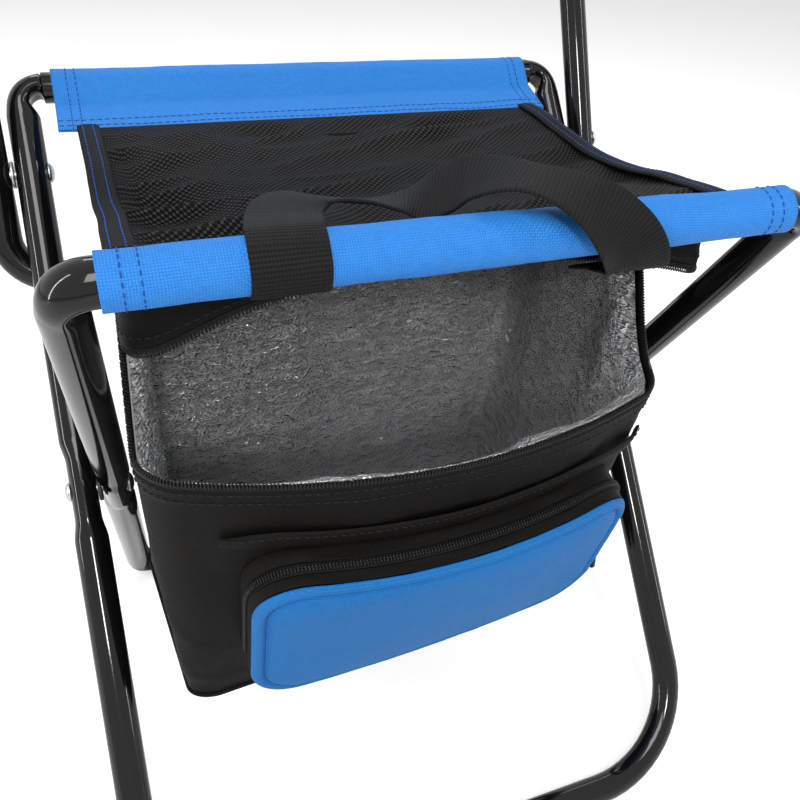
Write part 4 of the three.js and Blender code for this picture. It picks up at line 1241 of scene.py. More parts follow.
@dataclass
class BentTube:
    """A round tube bent in a plane, squeezed in places."""

    corners: list[tuple[float, float, float]]
    radius: float = 7.95
    sides: int = 40
    bend_steps: int = 14
    press_steps: int = 8
    straight_step: float = 24
    least_step: float = 0.12
    dent_width: float = 0.55
    presses: list[Press] = field(default_factory=list)
    runs: list[Run] = field(default_factory=list, init=False)
    length: float = field(default=0.0, init=False)

    def __post_init__(self) -> None:
        """Works out the straight runs and bends between the corners."""
        start = np.array(self.corners[0][:2], float)
        last = len(self.corners) - 1
        for number in range(1, last + 1):
            corner = np.array(self.corners[number][:2], float)
            ahead = unit(corner - start)
            heading = math.atan2(ahead[1], ahead[0])
            bend, turn, trim = 0.0, 0.0, 0.0
            if number < last:
                bend = self.corners[number][2]
                after = unit(np.array(self.corners[number + 1][:2], float) - corner)
                turn = math.atan2(ahead[0] * after[1] - ahead[1] * after[0], ahead @ after)
                trim = bend * math.tan(abs(turn) / 2)
            end = corner - ahead * trim
            self._add(Run(start, heading, 0.0, 0.0, self.length, float(np.linalg.norm(end - start))))
            if number < last:
                self._add(Run(end, heading, turn, bend, self.length, bend * abs(turn)))
                start = corner + after * trim

    def _add(self, run: Run) -> None:
        """Adds a run at the tube's end."""
        self.runs.append(run)
        self.length += run.length

    def place(self, distance: float) -> tuple[float, float, float]:
        """Where the tube's middle is at a distance from its start.

        Args:
            distance: millimetres along the tube.

        Returns:
            x, y and the heading.
        """
        run = [each for each in self.runs if distance >= each.begin - TINY][-1]
        (x, y), heading, along = run.start, run.heading, min(distance - run.begin, run.length)
        if run.bend == 0:
            return x + along * math.cos(heading), y + along * math.sin(heading), heading
        side = math.copysign(1, run.turn)
        after = heading + side * along / run.bend
        return (x + side * run.bend * (math.sin(after) - math.sin(heading)),
                y - side * run.bend * (math.cos(after) - math.cos(heading)), after)

    def stations(self) -> list[float]:
        """Where the rings are.

        Returns:
            Their distances along the tube.
        """
        found = [0.0, self.length]
        for run in self.runs:
            steps = self.bend_steps if run.bend > 0 else max(2, int(run.length / self.straight_step))
            found += [run.begin + run.length * step / steps for step in range(steps + 1)]
        for press, step in product(self.presses, range(self.press_steps + 1)):
            reach = press.half + press.blend * step / self.press_steps
            found += [press.at - reach, press.at + reach]
        inside = sorted(each for each in found if 0 <= each <= self.length)
        return [each for number, each in enumerate(inside)
                if number == 0 or each - inside[number - 1] > self.least_step]

    def points(self) -> Array:
        """The tube's surface in its own plane.

        Returns:
            Rings of points, one ring a row.
        """
        angle = 2 * np.pi * np.arange(self.sides) / self.sides
        inward = (angle + np.pi) % (2 * np.pi) - np.pi
        rings = []
        for distance in self.stations():
            x, y, heading = self.place(distance)
            inner = outer = deep = self.radius
            dent = 0.0
            for press in self.presses:
                share = 1 - float(ease(abs(distance - press.at), press.half, press.half + press.blend))
                inner, outer = mix(inner, press.inner, share), mix(outer, press.outer, share)
                deep, dent = mix(deep, press.deep, share), mix(dent, press.dent, share)
            reach = np.where(np.cos(angle) > 0, inner, outer) * np.cos(angle)
            reach = reach - dent * np.exp(-(inward / self.dent_width) ** 2)
            rings.append(np.stack([x - reach * math.sin(heading), y + reach * math.cos(heading),
                                   deep * np.sin(angle)], axis=1))
        return np.array(rings)


def lean_back(points: Array, origin: Array, lean: float) -> Array:
    """Turns points of a loop's own plane up to the loop's lean.

    Args:
        points: places with the loop in x and y.
        origin: y and z of the loop's own origin.
        lean: angle back from upright.

    Returns:
        The places in the drawing frame.
    """
    turn = math.pi / 2 - lean
    moved = points.copy()
    moved[..., 1] = origin[0] + points[..., 1] * math.cos(turn) - points[..., 2] * math.sin(turn)
    moved[..., 2] = origin[1] + points[..., 1] * math.sin(turn) + points[..., 2] * math.cos(turn)
    return moved


def ringed(name: str, rings: Array, cloth: Array | None = None) -> bpy.types.Object:
    """A closed solid from rings of points, with its ends filled.

    Args:
        name: the object's name.
        rings: one ring a row; the last column isn't the first again.
        cloth: millimetres across and along the cloth at each point.

    Returns:
        The linked object.
    """
    rows, columns = rings.shape[:2]
    faces = grid_faces(rows, columns, 0, True)
    faces.append(tuple(reversed(range(columns))))
    faces.append(tuple(range((rows - 1) * columns, rows * columns)))
    return make_mesh(name, rings.reshape(-1, 3), faces, None if cloth is None else cloth.reshape(-1, 2))


def turned(profile: list[tuple[float, float]], sides: int = 40) -> Array:
    """Rings of a turned shape round the x axis.

    Args:
        profile: pairs of radius and place along x.
        sides: points in a ring.

    Returns:
        One ring a row.
    """
    angle = 2 * np.pi * np.arange(sides) / sides
    return np.array([np.stack([np.full(sides, along), radius * np.cos(angle), radius * np.sin(angle)], axis=1)
                     for radius, along in profile])


def rounded_bar(half: float, radius: float, bore: float) -> list[tuple[float, float]]:
    """Profile of a tube with rounded ends that are closed a little way in.

    Args:
        half: half its length.
        radius: outer radius.
        bore: inner radius.

    Returns:
        Pairs of radius and place.
    """
    edge, chamfer, plug = 0.5, 0.3 * 0.5, 6
    end = [(bore, half - plug), (bore, half - edge), (bore + edge / 2, half), (radius - edge, half),
           (radius - chamfer, half - chamfer), (radius, half - edge)]
    return [(r, -x) for r, x in end] + [(r, x) for r, x in reversed(end)]


@dataclass
class Assembly:
    """What every sub-assembly is made with: shared sizes, finishes and sewing."""

    plan: Drawing
    finishes: Finishes
    sewing: Sewing


@dataclass
class Frame(Assembly):
    """The three tube loops, their straight rails and their rivets."""

    flat_half_depth: float = 6.3
    flat_half_length: float = 14
    flat_blend: float = 12
    flat_spread: float = 1.1
    swaged: float = 6.56
    press_blend: float = 6
    press_inner: float = 3.0
    press_outer: float = 1.1
    press_spread: float = 0.5
    press_dent: float = 1.3
    foot_bend: float = 58
    stop_bend: float = 22
    rail_bore: float = 7.0
    rivet_radius: float = 5.0
    rivet_height: float = 2.4
    rivet_sides: int = 28
    shank: float = 2.5
    shank_inset: float = 0.4
    washer_bore: float = 2.8
    washer_radius: float = 7.0
    washer_edge: float = 0.4
    washer_bevel: float = 0.3
    washer_sides: int = 36

    def _loop(self, name: str, node: str, body: Body, corners: list[tuple[float, float, float]],
              pressed: tuple[int, ...], rivet: float | None, origin: Array, lean: float) -> None:
        """Builds one loop, with its swaged ends, pressed bends and rivet flats.

        Args:
            name: the object's name.
            node: the node it replaces.
            body: the body it moves with.
            corners: its corners with their bend radii.
            pressed: numbers of the pressed bends.
            rivet: distance from its first leg's corner to that leg's rivet, where it has one.
            origin: y and z of the loop's own origin.
            lean: its angle back from upright.
        """
        tube = BentTube(corners)
        radius, flat = tube.radius, self.flat_half_depth
        bends = [run for run in tube.runs if run.bend > 0]
        for number in pressed:
            run = bends[number]
            quarter = run.length / 4
            tube.presses.append(Press(run.begin + run.length / 2, quarter, quarter + self.press_blend,
                                      radius - self.press_inner, radius - self.press_outer,
                                      radius + self.press_spread, self.press_dent))
        if rivet is not None:
            leg = tube.runs[2].begin + rivet - self.plan.pressed_bend
            for at in (leg, tube.length - leg):
                tube.presses.append(Press(at, self.flat_half_length, self.flat_blend, flat, flat,
                                          radius + self.flat_spread))
        for at in (0.0, tube.length):
            tube.presses.append(Press(at, self.plan.insert, FIT_GAP, self.swaged, self.swaged, self.swaged))
        drop(ringed(name, lean_back(tube.points(), origin, lean)), body, self.finishes.paint, node)

    def build(self) -> None:
        """Builds and dresses every piece of the frame."""
        plan, bend, foot_bend, stop_bend = self.plan, self.plan.pressed_bend, self.foot_bend, self.stop_bend
        outer, inner, back = plan.outer_half, plan.inner_half, plan.back_half
        rail, foot, top = (half - bend - FIT_GAP for half in (outer, inner, back))
        low, high, up, tip = -plan.pivot_to_foot, plan.outer_to_rail, plan.inner_to_rail, plan.rivet_to_top
        stop = (2 * plan.tube_radius + FIT_GAP) / math.sin(plan.lean - plan.back_lean)
        insert, pivot, back_rivet = plan.insert, np.array([0, plan.pivot]), plan.back_rivet
        self._loop("outer_leg_loop", "outer_leg_tube", Body.OUTER,
                   [(insert - rail, high, 0), (-outer, high, bend), (-outer, low, foot_bend),
                    (outer, low, foot_bend), (outer, high, bend), (rail - insert, high, 0)],
                   (0, 3), plan.outer_to_rail, pivot, plan.lean)
        self._loop("inner_leg_loop", "inner_leg_tube", Body.INNER,
                   [(foot - insert, low, 0), (inner, low, bend), (inner, up, bend), (-inner, up, bend),
                    (-inner, low, bend), (insert - foot, low, 0)],
                   (0, 1, 2, 3), plan.pivot_to_foot, pivot, -plan.lean)
        self._loop("backrest_loop", "backrest_tube", Body.BACK,
                   [(insert - top, tip, 0), (-back, tip, bend), (-back, -stop, stop_bend),
                    (back, -stop, stop_bend), (back, tip, bend), (top - insert, tip, 0)],
                   (0, 3), None, back_rivet, plan.back_lean)
        for name, node, half, place, body in (
                ("rear_rail_tube", "rear_seat_rail", rail, plan.rear_rail, Body.OUTER),
                ("rear_foot_tube", "rear_foot_bar", foot, plan.rear_foot, Body.INNER),
                ("backrest_top_tube", "backrest_top_bar", top, plan.up_loop(*back_rivet, plan.back_lean, tip),
                 Body.BACK)):
            rings = turned(rounded_bar(half, BentTube.radius, self.rail_bore)) + np.array([0, *place])
            drop(ringed(name, rings), body, self.finishes.paint, node)
        self._rivets()

    def _rivets(self) -> None:
        """Rivets with domed heads and the washers between the tubes."""
        plan, steel, radius, flat = self.plan, self.finishes.steel, self.plan.tube_radius, self.flat_half_depth
        spans = {
            "pivot": (plan.inner_half - flat, plan.outer_half + flat, plan.inner_half + flat,
                      plan.outer_half - flat, np.array([0, plan.pivot]), self.finishes.plastic),
            "backrest": (plan.outer_half - radius, plan.back_half + radius, plan.outer_half + radius,
                         plan.back_half - radius, plan.back_rivet, steel),
        }
        wide, bore, round_ = self.rivet_radius, self.washer_bore, self.washer_radius
        crown = [(wide * math.cos(a), self.rivet_height * math.sin(a)) for a in np.linspace(0, math.pi / 2, 8)]
        for (word, span), side in product(spans.items(), Side):
            inside, outside, gap_inside, gap_outside, place, finish = span
            middle, half = (inside + outside) / 2, (outside - inside) / 2
            start, end = middle - half + self.shank_inset, middle + half - self.shank_inset
            profile = [(max(r, 0.02), middle - half - h) for r, h in reversed(crown)]
            profile += [(wide, start), (self.shank, start), (self.shank, end), (wide, end)]
            profile += [(max(r, 0.02), middle + half + h) for r, h in crown]
            name = f"{word}_rivet_{side.word}"
            self._set_on_side(f"{name}_head", turned(profile, self.rivet_sides), side, place, steel, name)
            near, far = gap_inside + FIT_GAP, gap_outside - FIT_GAP
            edge, bevel = round_ - self.washer_edge, self.washer_bevel
            washer = turned([(bore, near), (edge, near), (round_, near + bevel), (round_, far - bevel),
                             (edge, far), (bore, far)], self.washer_sides)
            name = f"{word}_spacer_{side.word}"
            self._set_on_side(f"{name}_washer", washer, side, place, finish, name)

    def _set_on_side(self, name: str, rings: Array, side: Side, place: Array, finish: Finish,
                     node: str) -> None:
        """Puts a turned piece on one side of the stool.

        Args:
            name: the object's name.
            rings: its rings on the right side, round the x axis.
            side: the side it goes on.
            place: y and z of its axis.
            finish: its finish.
            node: the node it replaces.
        """
        if side is Side.LEFT:
            rings = rings[::-1] * np.array([-1, 1, 1])
        drop(ringed(name, rings + np.array([0, *place])), Body.OUTER, finish, node)


@dataclass
class Seat(Assembly):
    """Cloth sleeves round the rails, the mesh between them and its hems."""

    sleeve_columns: int = 190
    mesh_rows: int = 150
    mesh_columns: int = 180
    tail_meets: float = 15.5
    tail_slack: float = 0.05
    flutter_depth: float = 0.8
    swell_start: float = 9.5
    stitch_lift: float = 0.1
    end_pitch: float = 3.0
    end_rows: tuple[float, float] = (7.0, 11.5)
    tail_rows: tuple[int, int] = (2, 5)
    fold_turn: float = math.radians(-24)
    fold_stretch: float = 0.42
    fold_depth: float = 3.1
    slack: float = 3.6
    hem_width: float = 10.5
    hem_height: float = 2.6
    hem_rise: float = 1.3
    hem_overhang: float = 0.5
    hem_rows: tuple[float, float] = (-2.6, 2.2)

    def _sleeve_profile(self, tail: float, angle: float) -> Array:
        """The cloth's course round a rail and along its tail, as y and z from the rail's middle.

        Args:
            tail: length of the tail.
            angle: its direction.

        Returns:
            Points from the tip round the rail and back to the tip.
        """
        around = self.plan.tube_radius + FIT_GAP + self.plan.cloth / 2
        swing = math.acos(around / self.tail_meets)
        half = self.plan.tail_thickness / 4 + self.tail_slack
        ahead = np.array([math.cos(angle), math.sin(angle)])
        side = np.array([-ahead[1], ahead[0]])
        arc = np.linspace(angle + swing, angle + 2 * math.pi - swing, 34)
        ring = np.stack([around * np.cos(arc), around * np.sin(arc)], axis=1)
        places = np.linspace(self.tail_meets, tail, 16)[:, None]
        return np.concatenate([(places * ahead + half * side)[::-1], ring, places * ahead - half * side])

    def _sleeve(self, side: str, rail: Array, tail: float, angle: float, half: float, body: Body) -> None:
        """Builds one sleeve with its stitches.

        Args:
            side: rear or front.
            rail: y and z of the rail's middle.
            tail: length of its tail.
            angle: direction of its tail.
            half: half its length along the rail.
            body: the body it moves with.
        """
        profile = self._sleeve_profile(tail, angle)
        across = np.linspace(half, -half, self.sleeve_columns)
        grid = np.zeros((len(profile), len(across), 3))
        grid[..., 0] = across
        grid[..., 1:] = (rail + profile)[:, None, :]
        size = (2 * half, float(np.ptp(cloth_lengths(grid)[..., 1])))
        flutter = ease(np.linalg.norm(profile, axis=1)[:, None], self.swell_start, tail)
        wave = lattice_noise(grid * np.array([1, 1.6, 1]), 30, 3) + 0.5 * lattice_noise(grid, 12, 4)
        grid[..., 2] += flutter * wave * self.flutter_depth
        swell = (1 - flutter) * (lattice_noise(grid, 23, 5) * 0.5 + 0.12 * lattice_noise(grid, 7, 6) + 0.25)
        grid[..., 1:] += unit(profile)[:, None, :] * swell[..., None]
        if side == "rear":
            grid = grid[::-1]
        near, thread = self.plan.cloth / 2, self.finishes.blue_thread
        sheet = thick_cloth(f"{side}_sleeve", grid, -near, near)
        drop(sheet, body, self.finishes.blue, f"{side}_seat_sleeve")
        outs = grid_normals(grid)
        middle = len(outs) // 2
        outs = outs * np.sign(outs[middle, 0, 1:] @ (grid[middle, 0, 1:] - rail))
        lifted = grid + outs * (near + self.stitch_lift)
        for sign, inset in product((-1, 1), self.end_rows):
            column = int(np.argmin(np.abs(grid[0, :, 0] - sign * (half - inset))))
            self.sewing.row(f"{side}_sleeve_end_row_{sign + 1}_{inset:.0f}", lifted[:, column], outs[:, column],
                            thread, body, self.end_pitch)
        top = lifted if lifted[1, 0, 2] > lifted[-2, 0, 2] else lifted[::-1]
        up = np.tile([0, 0, 1.0], (len(across), 1))
        for row in self.tail_rows:
            self.sewing.row(f"{side}_sleeve_tail_row_{row}", top[row], up, thread, body)

    def crumple(self, grid: Array) -> Array:
        """How far the slack mesh lies below its drawn height.

        Args:
            grid: places on it.

        Returns:
            Heights, none above 1.
        """
        cos, sin = math.cos(self.fold_turn), math.sin(self.fold_turn)
        slanted = np.stack([(grid[..., 0] * cos - grid[..., 1] * sin) * self.fold_stretch,
                            grid[..., 0] * sin + grid[..., 1] * cos, grid[..., 2] * 0], axis=-1)
        fold = 1 - np.abs(lattice_noise(slanted, 21, 41)) * 2.2
        small = lattice_noise(slanted * np.array([1.6, 1, 1]), 11, 42)
        return self.fold_depth * fold + 1.0 * small + 1.5 * lattice_noise(grid, 46, 43) - self.slack

    def _mesh(self) -> None:
        """Builds the seat mesh."""
        plan = self.plan
        across, along = np.meshgrid(np.linspace(-1, 1, self.mesh_columns), np.linspace(0, 1, self.mesh_rows))
        y = mix(plan.mesh_front, plan.mesh_rear, along)
        grid = np.stack([across * plan.seat_half(y), y, plan.seat_height(y)], axis=-1)
        lengths = cloth_lengths(grid)
        calm = ease(1 - np.abs(across), 0, 0.16) * ease(along, 0, 0.1) * ease(1 - along, 0, 0.1)
        grid[..., 2] += self.crumple(grid) * calm
        mesh = thick_cloth("seat_mesh_cloth", grid, -plan.mesh_thickness / 2, plan.mesh_thickness / 2)
        drop(mesh, Body.ACROSS_FOLD, self.finishes.mesh, "seat_mesh")

    def _hems(self) -> None:
        """Rolled bindings on the mesh's side edges, each with two rows of thread."""
        plan = self.plan
        y = np.linspace(plan.front_tip[0] + 1, plan.mesh_rear - 1, 90)
        right, up = (np.tile(way, (len(y), 1)) for way in ([1.0, 0, 0], [0, 0, 1.0]))
        for side in Side:
            half = plan.seat_half(y) - self.hem_width / 2 + self.hem_overhang
            height = plan.seat_height(y) + plan.mesh_thickness / 2 + self.hem_rise
            path = np.stack([side.value * half, y, height], axis=1)
            path[:, 0] += lattice_noise(path, 30, 51) * 0.8
            path[:, 2] += lattice_noise(path, 22, 52) * 0.7
            hem = sweep(f"mesh_hem_{side.word}", path, right, oval(self.hem_width, self.hem_height, 2.6))
            drop(hem, Body.ACROSS_FOLD, self.finishes.black, f"seat_hem_{side.word}")
            for offset in self.hem_rows:
                row = path + np.array([offset, 0, self.hem_height / 2])
                self.sewing.row(f"mesh_hem_{side.word}_row_{offset + 3:.0f}", row, up,
                                self.finishes.blue_thread, Body.ACROSS_FOLD)

    def build(self) -> None:
        """Builds and dresses the seat."""
        plan = self.plan
        self._sleeve("rear", plan.rear_rail, plan.rear_tail, math.pi + plan.rear_tail_drop, plan.sleeve_half,
                     Body.OUTER)
        self._sleeve("front", plan.front_rail, plan.front_tail, -plan.front_tail_drop, plan.front_sleeve_half,
                     Body.INNER)
        self._mesh()
        self._hems()


@dataclass(frozen=True)
class BagSize:
    """Sizes of the bag, as in the part's source."""

    half: float = 121
    front: float = 110.0022
    back: float = 67.9925
    corner: float = 16
    height: float = 225
    zip_level: float = 319.6474
    foot_share: float = 0.906
    foot_depth: float = 120
    foot_forward: float = 11.4
    foot_left: float = 13
    twist: float = math.radians(5.1)
    belly: float = 2
    mouth_start: float = 44
    mouth_drop: float = 51
    mouth_forward: float = 31.5
    mouth_corner: float = 1.4
    mouth_left: float = 9
    mouth_narrow: float = 0.04
    arch: float = 20
    zip_half: float = 4
    zip_proud: float = 0.4
    shell: float = 1
    foam: float = 3.6
    foam_near: float = 1.6
    bottom_foam: float = 4
    lining: float = 0.6
    lining_near: float = 5.8
    rim_fold: float = 0.6
    band_droop: float = 5


class BagShape:
    """The bag's walls as a loft from its foot to its zip."""

    def __init__(self, plan: Drawing, size: BagSize) -> None:
        """Works out the outline seen from above.

        Args:
            plan: shared sizes.
            size: the bag's sizes.
        """
        self.plan, self.size = plan, size
        x, front, back = size.half - size.corner, size.corner - size.front, size.back - size.corner
        parts = [np.array([(0, size.back)])]
        for across, along, quarter in ((-x, back, 1), (-x, front, 2), (x, front, 3), (x, back, 0)):
            angle = (quarter + np.linspace(0, 1, 33)) * math.pi / 2
            parts.append(np.stack([across + size.corner * np.cos(angle),
                                   along + size.corner * np.sin(angle)], axis=1))
        points = np.concatenate([*parts, parts[0]])
        self.line, self.round = evenly(points, 4001)
        arc = size.corner * math.pi / 2
        side = size.front + size.back - 2 * size.corner
        self.left_back = (x + arc) / self.round
        self.left_front = self.left_back + side / self.round
        self.front_start = self.left_front + arc / self.round
        self.right_back = 1 - self.left_back
        self.foot_level = size.zip_level - size.height + size.shell + FIT_GAP

    def at(self, share: Array) -> Array:
        """Places on the outline.

        Args:
            share: shares of the way round.

        Returns:
            The places as x and y.
        """
        place = (np.asarray(share, float) % 1) * (len(self.line) - 1)
        first = np.floor(place).astype(int)
        after = np.minimum(first + 1, len(self.line) - 1)
        return mix(self.line[first], self.line[after], (place - first)[..., None])

    def open(self, y: Array) -> Array:
        """How far the mouth is open, from 0 to 1."""
        return ease(-y, self.size.mouth_start, self.size.front - self.size.corner / 2)

    def rim(self, share: Array) -> Array:
        """The wall's top edge, at the zip.

        Args:
            share: shares of the way round.

        Returns:
            The places.
        """
        size = self.size
        x, y = np.moveaxis(self.at(share), -1, 0)
        opened, side = self.open(y), (x / size.half) ** 2
        forward = size.mouth_forward * (1 - side) + size.mouth_corner * side
        return np.stack([x - (x * size.mouth_narrow + size.mouth_left) * opened, y - forward * opened,
                         size.zip_level - size.mouth_drop * opened], axis=-1)

    def foot(self, share: Array) -> Array:
        """The wall's bottom edge.

        Args:
            share: shares of the way round.

        Returns:
            The places.
        """
        size = self.size
        x, y = np.moveaxis(self.at(share), -1, 0)
        x = x * size.foot_share
        y = size.back - (size.back - y) * size.foot_depth / (size.front + size.back)
        middle = size.back - size.foot_depth / 2
        cos, sin = math.cos(size.twist), math.sin(size.twist)
        return np.stack([cos * x - sin * (y - middle) - size.foot_left,
                         sin * x + cos * (y - middle) + middle - size.foot_forward,
                         np.full(x.shape, self.foot_level)], axis=-1)

    def wall(self, share: Array, up: Array) -> Array:
        """Places on the outer face of the walls.

        Args:
            share: shares of the way round.
            up: shares of the way from foot to rim.

        Returns:
            The places.
        """
        size, step = self.size, 1e-3
        share, up = np.broadcast_arrays(np.asarray(share, float), np.asarray(up, float))
        point = mix(self.foot(share), self.rim(share), up[..., None])
        ahead = unit(self.at(share + step) - self.at(share - step))
        belly = 4 * size.belly * up * (1 - up) * (size.back - self.at(share)[..., 1]) / (size.back + size.front)
        point[..., 0] += ahead[..., 1] * belly
        point[..., 1] -= ahead[..., 0] * belly
        return point

    def length(self, share: Array) -> Array:
        """Distance from foot to rim."""
        return np.linalg.norm(self.rim(share) - self.foot(share), axis=-1)

    def strip(self, start: float, end: float, columns: int, low: float, high: float, rows: int) -> Array:
        """A grid on the walls.

        Args:
            start: share of the way round where it starts.
            end: share where it ends.
            columns: points in a row.
            low: its lower edge's millimetres above the foot, or below the rim where it is negative.
            high: how far its upper edge lies below the rim, as a number that isn't above 0.
            rows: rows of points.

        Returns:
            The grid.
        """
        share = np.linspace(start, end, columns)[None, :]
        length = self.length(share)
        lower = (low + length if low < 0 else low + 0 * length) / length
        return self.wall(share, mix(lower, (high + length) / length, np.linspace(0, 1, rows)[:, None]))

    def back_wall(self, columns: int, rows: int, lift: float, drop_by: float) -> Array:
        """A grid on the back wall, which rises straight past the rim's level.

        Args:
            columns: points in a row.
            rows: rows of points.
            lift: distance from the foot to its lower edge.
            drop_by: distance from the seat mesh to its upper edge.

        Returns:
            The grid.
        """
        share = np.linspace(self.right_back, 1 + self.left_back, columns)[None, :]
        crown = self.plan.seat_height(self.at(share)[..., 1]) - self.plan.mesh_thickness / 2 - FIT_GAP - drop_by
        height = mix(self.foot_level + lift, crown, np.linspace(0, 1, rows)[:, None])
        up = np.minimum(1, (height - self.foot_level) / (self.size.zip_level - self.foot_level))
        point = self.wall(share, up)
        point[..., 2] = height
        return point

    def band(self, low: float, high: float | None, columns: int, rows: int) -> Array:
        """A grid on the band over the mouth.

        Args:
            low: height of its lower edge over the upper zip's middle line.
            high: height of its upper edge, or the seat mesh.
            columns: points in a row.
            rows: rows of points.

        Returns:
            The grid.
        """
        size = self.size
        x, y = np.moveaxis(self.at(np.linspace(self.left_back, self.right_back, columns)), -1, 0)
        opened = self.open(y)
        line = size.zip_level + size.arch * (1 - (x / size.half) ** 2) * opened
        droop = size.band_droop * opened * ease(-x, 70, 118)
        top = line + (high or 0) - droop
        if high is None:
            top = self.plan.seat_height(y) - self.plan.mesh_thickness / 2 - FIT_GAP
        share = np.linspace(0, 1, rows)[:, None]
        return np.stack([x + 0 * share, y + 0 * share, mix(line + low - droop, top, share)], axis=-1)

    def plate(self, inset: float, level: float, columns: int, rows: int) -> Array:
        """A grid that fills the foot's outline.

        Args:
            inset: how far it is drawn in.
            level: its height.
            columns: points in a row.
            rows: rows of points.

        Returns:
            The grid.
        """
        eighth = self.size.corner * math.pi / 4 / self.round
        rear_left, front_left = self.left_back - eighth, self.front_start - eighth
        left = self.foot(np.linspace(rear_left, front_left, rows))
        front = self.foot(np.linspace(front_left, 1 - front_left, columns))
        right = self.foot(np.linspace(1 - front_left, 1 - rear_left, rows))[::-1]
        rear = self.foot(np.linspace(1 - rear_left, 1 + rear_left, columns))[::-1]
        grid = patch(rear, front, left, right)[::-1]
        middle = grid.mean(axis=(0, 1))
        reach = np.abs(grid - middle)[..., :2].max(axis=(0, 1))
        grid[..., :2] = middle[:2] + (grid[..., :2] - middle[:2]) * (1 - inset / reach)
        grid[..., 2] = level
        return grid


